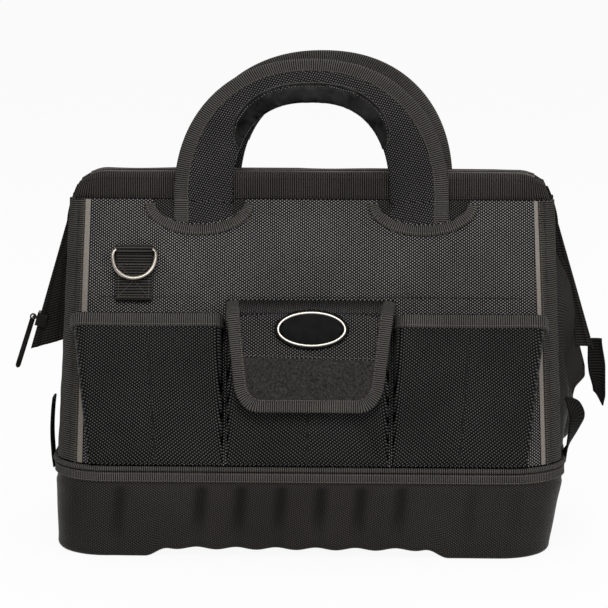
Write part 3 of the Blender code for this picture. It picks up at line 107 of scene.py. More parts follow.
def round_body(z, share, out=0.0, rear=False):
    """Points round the body at height z: share runs from -1 at the left end to 1 at the right end of a line
    that is flat in the middle and a quarter circle at each corner; out moves them off the surface."""
    z, share, out = np.broadcast_arrays(z, share, out)
    corner = at_height(z, FOOT_CORNER, TOP_CORNER)
    flat = at_height(z, FOOT_HALF_WIDTH, TOP_HALF_WIDTH) - corner
    along = np.abs(share) * (flat + corner * math.pi / 2)
    turn = np.clip((along - flat) / corner, 0, math.pi / 2)
    x = np.sign(share) * (np.minimum(along, flat) + (corner + out) * np.sin(turn))
    y = -(at_height(z, FOOT_Y, RIM_Y) - corner) - (corner + out) * np.cos(turn)
    points = np.stack([x, y, z], -1).astype(float)
    return points * np.array([-1, -1, 1]) if rear else points


# %% [markdown]
# Three helpers make every new mesh. `surface` turns a grid of points into quads with a UV map in metres,
# `sheet` gives a grid its thickness, and `carried` moves a profile along a path, which is how tapes, cords
# and wires are formed. Blender's own modifiers could do parts of this, but arrays keep the thread
# direction of each cloth in the UV map, where the weave needs it. `mount` then attaches the finished piece
# to its body and hides the solid that it stands for.

# %% Mesh helpers
SHARP_TURN = math.radians(42)
HANDS = (("left", -1), ("right", 1))


def unit(vectors):
    """Vectors divided by their lengths."""
    return vectors / np.maximum(np.linalg.norm(vectors, axis=-1, keepdims=True), 1e-12)


def lengths(points, axis):
    """Distance travelled along one axis of a grid, averaged over the other, starting at 0."""
    steps = np.linalg.norm(np.diff(points, axis=axis), axis=-1)
    mean = steps.mean(axis=1 - axis)
    return np.concatenate([[0.0], np.cumsum(mean)])


def mesh_piece(name, points, faces, uvs, material, smooth=True):
    """A mesh object at the origin from points, quads or polygons, and one UV per face corner."""
    mesh = bpy.data.meshes.new(name)
    mesh.from_pydata(points.tolist(), [], faces)
    layer = mesh.uv_layers.new(name="UVMap")
    layer.data.foreach_set("uv", np.asarray(uvs, np.float32).ravel())
    if smooth:
        mesh.shade_smooth()
        mesh.set_sharp_from_angle(angle=SHARP_TURN)
    mesh.materials.append(material)
    piece = bpy.data.objects.new(name, mesh)
    bpy.context.scene.collection.objects.link(piece)
    return piece


def volume(points, faces):
    """Signed volume of a closed mesh: the sum of tetrahedra from the origin to each triangle of each face."""
    total = 0.0
    by_size = {}
    for face in faces:
        by_size.setdefault(len(face), []).append(face)
    for size, group in by_size.items():
        corners = points[np.array(group)]
        for i in range(1, size - 1):
            total += np.einsum("ij,ij->", corners[:, 0], np.cross(corners[:, i], corners[:, i + 1]))
    return total / 6


def surface(name, grid, material, around=False, ring=False, caps=True, uv=None):
    """A closed body of quads over a grid (rows, columns, 3). around joins the last column to the first,
    ring joins the last row to the first, and caps closes the first and last rows."""
    grid = np.asarray(grid, float)
    rows, columns = grid.shape[:2]
    index = np.arange(rows * columns).reshape(rows, columns)
    if around:
        index = np.hstack([index, index[:, :1]])
    if ring:
        index = np.vstack([index, index[:1]])
    points = grid.reshape(-1, 3)
    place = points[index]
    if uv is None:
        uv = np.stack(np.meshgrid(lengths(place, 1), lengths(place, 0)), -1)
    corners = [(slice(None, -1), slice(None, -1)), (slice(None, -1), slice(1, None))]
    corners += [(slice(1, None), slice(1, None)), (slice(1, None), slice(None, -1))]
    quads = np.stack([index[c] for c in corners], -1).reshape(-1, 4)
    flat = np.stack([uv[c] for c in corners], -2).reshape(-1, 4, 2)
    faces = quads.tolist()
    maps = list(flat.reshape(-1, 2))
    if around and caps and not ring:
        for row, turn in ((index[0, :-1], -1), (index[-1, :-1], 1)):
            loop = row[::turn]
            faces.append(loop.tolist())
            maps += list(np.stack([points[loop][:, 0], points[loop][:, 2]], -1))
    if volume(points, faces) < 0:
        sizes = np.array([len(face) for face in faces])
        starts = np.concatenate([[0], np.cumsum(sizes)[:-1]])
        maps = np.array(maps)
        order = np.concatenate([start + np.arange(size)[::-1] for start, size in zip(starts, sizes)])
        faces = [face[::-1] for face in faces]
        maps = maps[order]
    return mesh_piece(name, points, faces, maps, material)


def grid_normals(grid):
    """Unit normals of a grid: the cross product of its two directions."""
    down = np.gradient(grid, axis=0)
    across = np.gradient(grid, axis=1)
    return unit(np.cross(across, down))


def sheet(name, grid, thickness, material, inward=None, uv=None):
    """A closed sheet: the grid, then the same grid set back by the thickness along its normals, as one
    loop of columns in each row, so that both faces and both side edges are quads. The first and last rows
    are closed by strips. inward is a rough direction from the face to the back."""
    grid = np.asarray(grid, float)
    normal = grid_normals(grid)
    if inward is not None and (normal.mean(axis=(0, 1)) @ np.asarray(inward, float)) < 0:
        normal = -normal
    back = grid + normal * thickness
    rows, columns = grid.shape[:2]
    points = np.concatenate([grid.reshape(-1, 3), back.reshape(-1, 3)])
    index = np.arange(rows * columns).reshape(rows, columns)
    far = index + rows * columns
    if uv is None:
        uv = np.stack(np.meshgrid(lengths(grid, 1), lengths(grid, 0)), -1)

    def quads(a, b, c, d):
        return np.stack([a, b, c, d], -1).reshape(-1, 4)

    front = quads(index[:-1, :-1], index[:-1, 1:], index[1:, 1:], index[1:, :-1])
    rear = quads(far[:-1, :-1], far[1:, :-1], far[1:, 1:], far[:-1, 1:])
    low = quads(index[0, :-1], far[0, :-1], far[0, 1:], index[0, 1:])
    high = quads(index[-1, :-1], index[-1, 1:], far[-1, 1:], far[-1, :-1])
    left = quads(index[:-1, 0], index[1:, 0], far[1:, 0], far[:-1, 0])
    right = quads(index[:-1, -1], far[:-1, -1], far[1:, -1], index[1:, -1])
    faces = np.concatenate([front, rear, low, high, left, right])
    if volume(points, faces.tolist()) < 0:
        faces = faces[:, ::-1]
    flat = np.concatenate([uv.reshape(-1, 2), uv.reshape(-1, 2)])
    return mesh_piece(name, points, faces.tolist(), flat[faces].reshape(-1, 2), material)


def rounded(width, thickness, power=4.0, count=20):
    """A profile of a width and thickness: |x|^power + |y|^power = 1, from an oval (2) to a soft box (6)."""
    turn = np.linspace(0, 2 * math.pi, count, endpoint=False)
    side, up = np.cos(turn), np.sin(turn)
    x = np.sign(side) * np.abs(side) ** (2 / power) * width / 2
    y = np.sign(up) * np.abs(up) ** (2 / power) * thickness / 2
    return np.stack([x, y], -1)


def carried(name, path, out, profile, material, ring=False, scale=None):
    """A profile carried along a path. out is the direction that the profile's second axis points to, and
    the first axis lies across the path: across = path direction x out. scale shrinks single sections."""
    path = np.asarray(path, float)
    closed = np.concatenate([path[-1:], path, path[:1]]) if ring else path
    ahead = unit(np.gradient(closed, axis=0)[1:-1] if ring else np.gradient(path, axis=0))
    out = np.broadcast_to(np.asarray(out, float), path.shape)
    across = unit(np.cross(ahead, out))
    upward = np.cross(across, ahead)
    profile = np.asarray(profile, float)
    size = np.ones(len(path)) if scale is None else np.asarray(scale, float)
    flat = profile[None] * size[:, None, None] if profile.ndim == 2 else profile
    sections = path[:, None] + across[:, None] * flat[..., :1] + upward[:, None] * flat[..., 1:]
    return surface(name, sections, material, around=True, ring=ring)


def resampled(points, step):
    """Points at even distances along a polyline."""
    points = np.asarray(points, float)
    travel = np.concatenate([[0.0], np.cumsum(np.linalg.norm(np.diff(points, axis=0), axis=1))])
    places = np.linspace(0, travel[-1], max(2, int(round(travel[-1] / step)) + 1))
    return np.stack([np.interp(places, travel, points[:, i]) for i in range(points.shape[1])], -1)


def arc(centre, radius, start, end, count):
    """Points (2 numbers each) on a circle between two angles in degrees."""
    turn = np.radians(np.linspace(start, end, count))
    return np.stack([centre[0] + radius * np.cos(turn), centre[1] + radius * np.sin(turn)], -1)


def smooth(value, low, high):
    """0 below low and 1 above high, with an even slope between: 3s^2 - 2s^3."""
    share = np.clip((np.asarray(value, float) - low) / (high - low), 0, 1)
    return share * share * (3 - 2 * share)


def ripple(a, b, waves):
    """A soft unevenness: the sum of sines, each wave as (height, cycles along a, cycles along b, phase)."""
    total = np.zeros(np.broadcast(a, b).shape)
    for height, along, over, phase in waves:
        total = total + height * np.sin(2 * math.pi * (along * a + over * b) + phase)
    return total


def mount(piece, body, node=None):
    """Attaches a piece to the body that it rides on, and hides the solid that it stands for, if one is given."""
    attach(piece, body)
    if node:
        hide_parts(node)


# %% [markdown]
# Sewing shows as rows of short bright stitches. Each row is one mesh of small capsules that sink into the
# cloth at both ends. There are thousands, so a capsule has only 22 faces, and all of them are worked out
# in one array: a template times every place along the seam. The zip's teeth are made the same way.

# %% Stitches and teeth
STITCH_LENGTH = 2.5 * MM
STITCH_PITCH = 3.4 * MM
THREAD = 0.55 * MM


def stamped(name, points, material):
    """Many small bodies as one mesh, from points as (bodies, rings, 6, 3). The walls between the rings are
    quads, and two quads close each end."""
    count, rings = points.shape[:2]
    base = np.arange(rings * 6).reshape(rings, 6)
    turned = np.roll(base, -1, axis=1)
    walls = np.stack([base[:-1], turned[:-1], turned[1:], base[1:]], -1).reshape(-1, 4)
    caps = np.array([[0, 1, 2, 3], [0, 3, 4, 5]])
    template = np.concatenate([walls, caps[:, ::-1], caps + 6 * (rings - 1)])
    faces = (template[None] + 6 * rings * np.arange(count)[:, None, None]).reshape(-1, 4)
    points = points.reshape(-1, 3)
    if volume(points, faces.tolist()) < 0:
        faces = faces[:, ::-1]
    return mesh_piece(name, points, faces.tolist(), np.zeros((faces.size, 2)), material)


def stitches(name, paths, outs, material, pitch=STITCH_PITCH, length=STITCH_LENGTH, zigzag=0.0):
    """Capsules along paths: a ring of 6 points at 4 places along each stitch, closed by its ends. The
    middle stands off the cloth by most of the thread, the ends sink in. zigzag turns every second stitch."""
    places, aheads, ups = [], [], []
    for path, out in zip(paths, outs):
        path = np.asarray(path, float)
        even = resampled(path, pitch)
        out = np.broadcast_to(np.asarray(out, float), path.shape)
        travel = np.concatenate([[0.0], np.cumsum(np.linalg.norm(np.diff(path, axis=0), axis=1))])
        spots = np.linspace(0, travel[-1], len(even))
        up = unit(np.stack([np.interp(spots, travel, out[:, i]) for i in range(3)], -1))
        ahead = unit(np.gradient(even, axis=0))
        lean = np.where(np.arange(len(even)) % 2 == 0, 1.0, -1.0)[:, None] * zigzag
        places.append(even)
        aheads.append(unit(ahead + lean * np.cross(ahead, up)))
        ups.append(up)
    place, ahead, up = (np.concatenate(part)[:, None, None] for part in (places, aheads, ups))
    along = np.array([-0.5, -0.28, 0.28, 0.5])[:, None, None] * length
    radius = np.array([0.35, 1.0, 1.0, 0.35])[:, None, None] * THREAD / 2
    rise = np.array([-0.4, 0.35, 0.35, -0.4])[:, None, None] * THREAD / 2
    turn = np.linspace(0, 2 * math.pi, 6, endpoint=False)[:, None]
    points = place + ahead * along + np.cross(ahead, up) * radius * np.cos(turn)
    return stamped(name, points + up * (radius * np.sin(turn) + rise), material)


def beads(name, spots, size, material):
    """Many equal ovals: 5 rings of 6 points each, times every spot. size is across, front to back, and up."""
    lift = np.array([-0.5, -0.35, 0.0, 0.35, 0.5])
    spread = np.array([0.35, 0.8, 1.0, 0.8, 0.35]) / 2
    turn = np.linspace(0, 2 * math.pi, 6, endpoint=False)
    across, up = np.outer(spread, np.cos(turn)), np.outer(spread, np.sin(turn))
    oval = np.stack(np.broadcast_arrays(across, lift[:, None], up), -1)
    return stamped(name, spots[:, None, None] + oval * size, material)


# %% [markdown]
# Colours are written as they look on a screen, so one function turns each hex value to the linear light
# that the shader works with. A second function adds a node with its settings and its links, and every
# material below is a short list of such calls.

# %% Material helpers
def linear(colour):
    """Hex colour to linear light: c / 12.92 when dark, else ((c + 0.055) / 1.055) to the power 2.4."""
    parts = np.array([int(colour[i : i + 2], 16) for i in (1, 3, 5)]) / 255
    light = np.where(parts <= 0.04045, parts / 12.92, ((parts + 0.055) / 1.055) ** 2.4)
    return (*light.tolist(), 1.0)


def add(tree, kind, links=None, **settings):
    """A new node: settings are its properties, links gives inputs a value or another node's output."""
    node = tree.nodes.new("ShaderNode" + kind)
    for name, value in settings.items():
        setattr(node, name, value)
    for socket, value in (links or {}).items():
        if isinstance(value, bpy.types.Node):
            value = next(output for output in value.outputs if output.enabled)
        if isinstance(value, bpy.types.NodeSocket):
            tree.links.new(value, node.inputs[socket])
        else:
            node.inputs[socket].default_value = value
    return node


def begin(name, **shader):
    """An empty material with a Principled shader, and its shader's own values."""
    material = bpy.data.materials.new(name)
    material.use_nodes = True
    tree = material.node_tree
    principled = tree.nodes["Principled BSDF"]
    for socket, value in shader.items():
        principled.inputs[socket.replace("_", " ")].default_value = value
    return material, tree, principled


def finish_material(tree, principled, colour, height, depth, roughness=None):
    """Links a colour, a bump of that depth in metres, and a roughness to the shader."""
    bump = add(tree, "Bump", {"Height": height, "Distance": depth, "Strength": 1.0})
    output = colour.outputs[2] if colour.bl_idname == "ShaderNodeMix" else colour.outputs[0]
    tree.links.new(output, principled.inputs["Base Color"])
    tree.links.new(bump.outputs[0], principled.inputs["Normal"])
    if roughness is not None:
        tree.links.new(roughness.outputs[0], principled.inputs["Roughness"])


def mixed(tree, share, low, high):
    """A colour between two, by a share from 0 to 1."""
    return add(tree, "Mix", {0: share, 6: low, 7: high}, data_type="RGBA")


def fade(tree, scale, low, high, detail=3.0):
    """Slow variation from low to high over the piece, about 1 / scale metres wide."""
    place = add(tree, "TexCoord").outputs["Object"]
    noise = add(tree, "TexNoise", {"Vector": place, "Scale": scale, "Detail": detail, "Roughness": 0.6})
    return add(tree, "MapRange", {0: noise.outputs[0], 1: 0.3, 2: 0.7, 3: low, 4: high})


# %% [markdown]
# A plain weave is two sets of round threads that pass over and under each other. On a checkerboard of
# cells one thread pitch wide, the warp is on top in the dark cells and the weft in the light ones. A
# thread's height is a parabola across it, and it dips at both ends of its cell where it goes under. The
# warp's colour is painted much brighter than the weft's, as a painted highlight of the glints on its
# crowns, and this gives the fine dots that the eye sees. The low places between the threads take the gap
# colour, which is painted shade.

# %% Woven cloth
# The warp's cells are wider than they are tall, because its thread is the thicker of the two.
CELL_WIDE = 1.14
CELL_TALL = 0.80


def weave(tree, pitch):
    uv = add(tree, "TexCoord").outputs["UV"]
    scale = (1 / (pitch * CELL_WIDE), 1 / (pitch * CELL_TALL), 1.0)
    cells = add(tree, "VectorMath", {0: uv, 1: scale}, operation="MULTIPLY")
    inside = add(tree, "VectorMath", {0: cells}, operation="FRACTION")
    centred = add(tree, "VectorMath", {0: inside, 1: (0.5, 0.5, 0.0)}, operation="SUBTRACT")
    squared = add(tree, "VectorMath", {0: centred, 1: centred}, operation="MULTIPLY")
    round_up = add(tree, "VectorMath", {0: squared, 1: (-4, -4, 0), 2: (1, 1, 0)}, operation="MULTIPLY_ADD")
    parts = add(tree, "SeparateXYZ", {0: round_up})
    ways = [parts.outputs[i] for i in (0, 1)]
    dips = [add(tree, "Math", {0: way, 1: 0.5, 2: 0.5}, operation="MULTIPLY_ADD") for way in ways]
    warp = add(tree, "Math", {0: ways[0], 1: dips[1]}, operation="MULTIPLY")
    weft = add(tree, "Math", {0: ways[1], 1: dips[0]}, operation="MULTIPLY")
    checker = add(tree, "TexChecker", {"Vector": cells, "Scale": 1.0}).outputs["Fac"]
    height = add(tree, "Mix", {0: checker, 2: weft, 3: warp}, data_type="FLOAT")
    return height.outputs[0], checker


def woven(name, warp, weft, gap, pitch, depth, roughness, crest=(0.35, 0.95), variation=0.2):
    """A cloth from its thread colours, its thread pitch and the depth of its relief in metres. The warp's
    colour carries a painted highlight of the glints on its crowns, and the gap colour is painted shade in the
    low places between threads. crest gives the heights between which the colour goes from the gap's to the
    thread's: late means small bright dots."""
    material, tree, principled = begin(name, Roughness=roughness, IOR=1.53, Specular_IOR_Level=0.035)
    height, checker = weave(tree, pitch)
    thread = mixed(tree, checker, linear(weft), linear(warp))
    share = add(tree, "MapRange", {0: height, 1: crest[0], 2: crest[1], 3: 0.0, 4: 1.0})
    shaded = mixed(tree, share, linear(gap), thread.outputs[2])
    patches = fade(tree, 14, 1 - variation, 1 + variation)
    colour = add(tree, "VectorMath", {0: shaded.outputs[2], 1: patches}, operation="MULTIPLY")
    fuzz = fade(tree, 1.0 / (pitch * 1.7), 0.75, 1.0, detail=2.0)
    rough = add(tree, "Math", {0: fuzz, 1: roughness}, operation="MULTIPLY")
    tall = add(tree, "Math", {0: height, 1: fuzz}, operation="MULTIPLY")
    finish_material(tree, principled, colour, tall, depth, rough)
    return material


def darken(material, attribute, most):
    """Multiplies a material's colour by 1 - most * attribute: painted shade, in the tub's flutes and under
    the flap's seam.
    """
    tree = material.node_tree
    socket = tree.nodes["Principled BSDF"].inputs["Base Color"]
    depth = add(tree, "Attribute", attribute_name=attribute).outputs["Fac"]
    keep = add(tree, "Math", {0: depth, 1: -most, 2: 1.0}, operation="MULTIPLY_ADD")
    shade = add(tree, "VectorMath", {0: socket.links[0].from_socket, 1: keep}, operation="MULTIPLY")
    tree.links.new(shade.outputs[0], socket)


# Ballistic nylon: heavy filament yarns in a plain weave; each crossing is a painted highlight, a small bright
# dot.
BALLISTIC = woven("ballistic_nylon_plain_weave", "#989594", "#1b1b1b", "#030303", 1.5 * MM, 0.35 * MM, 0.42)
# The pockets' cloth is the same weave in a darker dye lot, and it looks nearly black in the shade.
POCKET_CLOTH = woven("pocket_nylon_plain_weave", "#585756", "#0c0c0c", "#010101", 1.5 * MM, 0.32 * MM, 0.45)
# The flap is cut from a lot between the two.
FLAP_CLOTH = woven("flap_nylon_plain_weave", "#787574", "#141414", "#020202", 1.5 * MM, 0.32 * MM, 0.45)
# Painted shade: the flap's cloth is painted darker just under its seam, where it curves out and faces up.
darken(FLAP_CLOTH, "painted_shade", 0.6)
# The gussets' cloth is thin and soft, so it shows fewer bright threads.
GUSSET_CLOTH = woven("gusset_nylon_plain_weave", "#4c4a48", "#1e1d1c", "#0c0b0b", 1.3 * MM, 0.2 * MM, 0.5,
                     crest=(0.0, 1.0))
# Behind the cut-outs shows the padded layer's own face: the same nylon, painted darker as painted shade
# under the outer layer.
INNER_CLOTH_SHADED = woven("padded_layer_nylon_painted_shade", "#5f5b5a", "#151414", "#040404", 1.4 * MM, 0.28 * MM, 0.45)
# Handles are covered with a finer, softer cloth.
HANDLE_CLOTH = woven("handle_nylon_plain_weave", "#6e6b6b", "#161515", "#020202", 1.4 * MM, 0.28 * MM, 0.45)
# The tub's outer face is a fine polyester pressed into the moulding: low relief, brownish black.
TUB_CLOTH = woven("moulded_laminated_polyester", "#4a4744", "#242321", "#100f0e", 1.25 * MM, 0.12 * MM, 0.50,
                  crest=(0.0, 1.0), variation=0.12)
# Painted shade: the tub's cloth is painted darker in the flutes.
darken(TUB_CLOTH, "painted_shade", 0.5)
# The lining inside is thin taffeta with a slight shine.
LINING = woven("nylon_taffeta_lining", "#2e2e30", "#232325", "#101011", 0.6 * MM, 0.05 * MM, 0.45,
               crest=(0.0, 1.0))
print("woven cloths", len(bpy.data.materials))

# %% [markdown]
# Binding tape is grosgrain: thick weft cords run across the tape and show as ribs. The ribs follow the
# tape's own length, which is the second number of its UV map. The webbing of the tab is the same idea with
# broader ribs and a knitted look.

# %% Ribbed tapes
def ribbed(name, light, dark, rib, depth, roughness, threads=0.45 * MM, variation=0.15):
    """Ribs along V: height = |sin(pi * v / rib)|, crossed by fine threads along U of a third the height. The
    light colour on the crests is a painted highlight, and the dark colour in the valleys is painted shade.
    """
    material, tree, principled = begin(name, Roughness=roughness, IOR=1.5, Specular_IOR_Level=0.04)
    uv = add(tree, "SeparateXYZ", {0: add(tree, "TexCoord").outputs["UV"]})
    ribs = add(tree, "Math", {0: uv.outputs[1], 1: math.pi / rib}, operation="MULTIPLY")
    wave = add(tree, "Math", {0: add(tree, "Math", {0: ribs}, operation="SINE")}, operation="ABSOLUTE")
    fine = add(tree, "Math", {0: uv.outputs[0], 1: math.pi / threads}, operation="MULTIPLY")
    cross = add(tree, "Math", {0: add(tree, "Math", {0: fine}, operation="SINE")}, operation="ABSOLUTE")
    height = add(tree, "Math", {0: cross, 1: 0.3, 2: wave}, operation="MULTIPLY_ADD")
    share = add(tree, "MapRange", {0: height, 1: 0.62, 2: 1.22, 3: 0.0, 4: 1.0})
    shaded = mixed(tree, share, linear(dark), linear(light))
    patches = fade(tree, 25, 1 - variation, 1 + variation)
    colour = add(tree, "VectorMath", {0: shaded.outputs[2], 1: patches}, operation="MULTIPLY")
    finish_material(tree, principled, colour, height, depth, fade(tree, 300, roughness, roughness + 0.15))
    return material


# Polypropylene grosgrain: dull, a little brown. Its cords are about 1 mm apart on the real tape, which is
# too fine for the picture, so they are drawn 1.7 mm apart. The rim's and the corners' tapes are the same
# cloth: the first is painted darker, as painted shade from the handles above it, and the second has a
# flatter, finer face.
TAPE = ribbed("polypropylene_grosgrain_tape", "#615e5a", "#060606", 1.7 * MM, 0.22 * MM, 0.55)
RIM_TAPE_SHADED = ribbed("polypropylene_rim_tape_painted_shade", "#4a4643", "#050505", 1.75 * MM, 0.22 * MM, 0.55)
# The zip's tails are a ribbed tape with broad soft cords.
TAIL_TAPE = ribbed("zip_tape_ribbed", "#312f2d", "#0b0a0a", 2.2 * MM, 0.25 * MM, 0.55, 1.6 * MM)
SIDE_TAPE = ribbed("polypropylene_side_tape", "#57544f", "#070707", 1.7 * MM, 0.25 * MM, 0.55)
# Webbing: broad cords and a knitted look. The loops and the zip's loose end are its nearly black sort.
WEBBING = ribbed("polypropylene_webbing", "#4a4846", "#050505", 2.3 * MM, 0.30 * MM, 0.6, 0.8 * MM)
LOOP_WEBBING = ribbed("dark_polypropylene_webbing", "#242221", "#050505", 2.3 * MM, 0.30 * MM, 0.62, 0.8 * MM)

# %% [markdown]
# The remaining finishes each have one thing that the eye reads: fine grain and soft painted highlights on
# the vinyl grip, a bead grid on the reflective strip, brushed fibres on the flap's pad, clean reflections on
# the nickel ring, and a satin face with a faint orange peel on the badge.

# %% Vinyl, felt, strip, thread, metals and mouldings
def grained(name, colour, wear_and_highlight, roughness, grain, depth, patch=40, **shader):
    """A solid with a fine random grain: cells about grain wide, bump of that depth, and patches of the second
    colour about 1 / patch metres wide. The patches are wear and tone, except on the vinyl grip, where they
    are painted highlights."""
    material, tree, principled = begin(name, Roughness=roughness, **shader)
    place = add(tree, "TexCoord").outputs["Object"]
    cells = add(tree, "TexNoise", {"Vector": place, "Scale": 1 / grain, "Detail": 4.0, "Roughness": 0.55})
    patches = fade(tree, patch, 0.0, 1.0)
    shaded = mixed(tree, patches, linear(colour), linear(wear_and_highlight))
    finish_material(tree, principled, shaded, cells, depth, fade(tree, 90, roughness * 0.8, roughness * 1.2))
    return material


# Embossed PVC: black with a leather-like grain. Its broad soft highlights are painted, as lighter patches.
VINYL = grained("embossed_vinyl", "#030303", "#2a2929", 0.34, 1.1 * MM, 0.18 * MM, patch=60, IOR=1.52,
                Specular_IOR_Level=0.06)
# The grip's folded edge is painted pale grey: a painted highlight along the edge, which shows as a pale line.
VINYL_EDGE_HIGHLIGHT = grained("vinyl_edge_painted_highlight", "#4b4a49", "#333232", 0.4, 1.1 * MM, 0.05 * MM, IOR=1.52,
                       Specular_IOR_Level=0.1)
# Brushed microfibre: matt, almost no thread visible.
FELT = grained("brushed_microfibre", "#191817", "#403e3c", 0.85, 0.9 * MM, 0.30 * MM, patch=620,
               Sheen_Weight=0.02, Specular_IOR_Level=0.05)
# Black polyester thread: it shows only by the light on its crowns.
THREAD_DARK = grained("black_polyester_thread", "#262423", "#2e2c2a", 0.6, 0.4 * MM, 0.03 * MM,
                      Specular_IOR_Level=0.1)
# The same thread, dyed a little browner and lighter than the cloth, on the tapes.
THREAD_LOOK = grained("spun_polyester_thread", "#6a645e", "#57524d", 0.6, 0.4 * MM, 0.03 * MM,
                      Sheen_Weight=0.02, Specular_IOR_Level=0.1)
# The zip tape's woven edge is painted pale grey: a painted highlight where its top catches the light.
ZIP_EDGE_HIGHLIGHT = grained("zip_tape_edge_painted_highlight", "#625e5a", "#56524e", 0.7, 0.8 * MM, 0.05 * MM,
                    Specular_IOR_Level=0.15)
# Hardboard covered in plastic film.
BOARD = grained("film_covered_board", "#171717", "#1f1f1f", 0.5, 2.0 * MM, 0.05 * MM)
# Nickel plate on a wire: warm grey and mirror smooth.
NICKEL = grained("nickel_plated_wire", "#9a948c", "#878178", 0.16, 30 * MM, 0.0005 * MM, Metallic=1.0)
# Zinc plate on the frame rods: paler, with a cloudier finish.
ZINC = grained("zinc_plated_steel", "#a9abae", "#8f9194", 0.34, 1.5 * MM, 0.02 * MM, Metallic=1.0)
# Black oxide on the slider and pull: a dark metal that is bright only on its edges.
DARK_METAL = grained("black_oxide_zinc_casting", "#141312", "#262422", 0.34, 1.2 * MM, 0.02 * MM,
                     Metallic=1.0)
# Polyester monofilament, wound to the zip's coil: satin black.
COIL = grained("polyester_zip_coil", "#3a3a3b", "#2b2b2c", 0.35, 0.8 * MM, 0.02 * MM, IOR=1.48)
# Satin ABS with a faint orange peel, nearly black from the front.
BADGE = grained("satin_abs", "#030304", "#050506", 0.3, 3.0 * MM, 0.01 * MM, IOR=1.5, Specular_IOR_Level=0.03)
# Chrome-plated ABS bead round the badge.
CHROME = grained("chrome_plated_abs", "#bcb6ad", "#a9a39a", 0.22, 5.0 * MM, 0.005 * MM, Metallic=1.0)


def reflective():
    """Glass-bead strip: grey with a grid of beads drawn as dots of height, 0.7 mm apart so that they show."""
    material, tree, principled = begin("glass_bead_reflective_strip", Roughness=0.4, IOR=1.5)
    uv = add(tree, "TexCoord").outputs["UV"]
    dots = add(tree, "TexVoronoi", {"Vector": uv, "Scale": 1 / (0.7 * MM), "Randomness": 0.2})
    share = add(tree, "MapRange", {0: dots.outputs[0], 1: 0.1, 2: 0.6, 3: 1.0, 4: 0.0})
    shaded = mixed(tree, share, linear("#5d5751"), linear("#948a80"))
    finish_material(tree, principled, shaded, share, 0.08 * MM, fade(tree, 200, 0.3, 0.5))
    return material


STRIP = reflective()
for node, look in (("base_board", BOARD), ("front_steel_frame", ZINC), ("rear_steel_frame", ZINC),
                   ("rivet_left", ZINC), ("rivet_right", ZINC), ("zip_slider", DARK_METAL)):
    mesh = frame["nodes"][node].data
    mesh.materials.clear()
    mesh.materials.append(look)
print("materials", len(bpy.data.materials))

# %% [markdown]
# The moulded tub carries the bag. Its wall is a laminate pressed in a mould: straight at the top, drawn in
# toward four feet, with shallow flutes on the long faces that meet the scallops of the raised arch. It is
# one surface: rows run from the middle of the underside, out round the rolled lower edge, up the wall,
# over the rim and down the inside. The cloth in a flute is painted darker, as painted shade in the groove,
# so each point carries how deep it lies as a point attribute.

# %% Moulded tub
TAPER = 5.8 * MM
PROUD = 1.4 * MM
LOWER_EDGE = 5 * MM
STRAIGHT = 12 * MM
WALL = 5 * MM
ARCH_RISE = 6.5 * MM
ARCH_HALF = 100 * MM
ARCH_BLEND = 20 * MM
SCALLOP = 1.0 * MM
FLUTE_PITCH = 31.4 * MM
FLUTE_DEPTH = 3.6 * MM
VALLEY_WIDTH = 4.9 * MM
VALLEY_START = 11.2 * MM
ARCH_MIDDLE = -4 * MM
FOOT_SHIFT = -4.8 * MM
TUB_WAVES = ((0.35 * MM, 3.1, 0.4, 0.3), (0.25 * MM, 5.3, 1.1, 2.0))
# Middle of each valley in mm and its strength: six over the arch, two at the left foot, three faint ones at
# the right foot.
VALLEYS = ((-182, 0.8), (-147, 0.8), (-83, 1), (-51.6, 1), (-20.2, 1), (11.2, 1), (42.6, 1), (74, 0.9),
           (129, 0.35), (165, 0.4), (181, 0.4))


def tub_plan(count_side=12, count_corner=12, count_long=360):
    """The tub's plan as points and outward directions: a rectangle with four quarter-circle corners."""
    flat_x = TUB_HALF_WIDTH - FOOT_CORNER
    flat_y = TUB_HALF_DEPTH - FOOT_CORNER
    side = np.linspace(0, -flat_y, count_side, endpoint=False)
    left = np.stack([np.full(count_side, -TUB_HALF_WIDTH), side], -1)
    corner = arc((-flat_x, -flat_y), FOOT_CORNER, 180, 270, count_corner + 1)[:-1]
    front = np.stack([np.linspace(-flat_x, 0, count_long // 2, endpoint=False),
                      np.full(count_long // 2, -TUB_HALF_DEPTH)], -1)
    quarter = np.concatenate([left, corner, front])
    out = np.concatenate([np.tile([-1.0, 0.0], (count_side, 1)),
                          unit(corner - np.array([-flat_x, -flat_y])),
                          np.tile([0.0, -1.0], (count_long // 2, 1))])
    right = np.concatenate([[[0.0, -TUB_HALF_DEPTH]], quarter[:0:-1] * [-1, 1]])
    right_out = np.concatenate([[[0.0, -1.0]], out[:0:-1] * [-1, 1]])
    half = np.concatenate([quarter, right])
    half_out = np.concatenate([out, right_out])
    return np.concatenate([half, -half]), np.concatenate([half_out, -half_out])


def underside(x):
    """Height of the underside: 0 at the feet, an arch between them with a notch under each valley."""
    inside = 1 - smooth(np.abs(x - ARCH_MIDDLE), ARCH_HALF, ARCH_HALF + ARCH_BLEND)
    return inside * (ARCH_RISE + SCALLOP * np.cos(2 * math.pi * (x - VALLEY_START) / FLUTE_PITCH))


def flutes(x, out):
    """Depth of the flutes on the long faces: at each valley, depth * exp(-(distance / width)^2)."""
    long_face = np.abs(out[:, 1]) ** 3
    total = np.zeros(len(x))
    for valley, strength in VALLEYS:
        total = total + strength * np.exp(-(((x - valley * MM) / VALLEY_WIDTH) ** 2))
    return FLUTE_DEPTH * long_face * np.clip(total, 0, 1)


def store_painted_shade(piece, amount, sides=1):
    """Stores how much painted shade each point of a piece's grid gets, as a point attribute."""
    layer = piece.data.attributes.new("painted_shade", "FLOAT", "POINT")
    layer.data.foreach_set("value", np.tile(np.asarray(amount, np.float32).ravel(), sides))


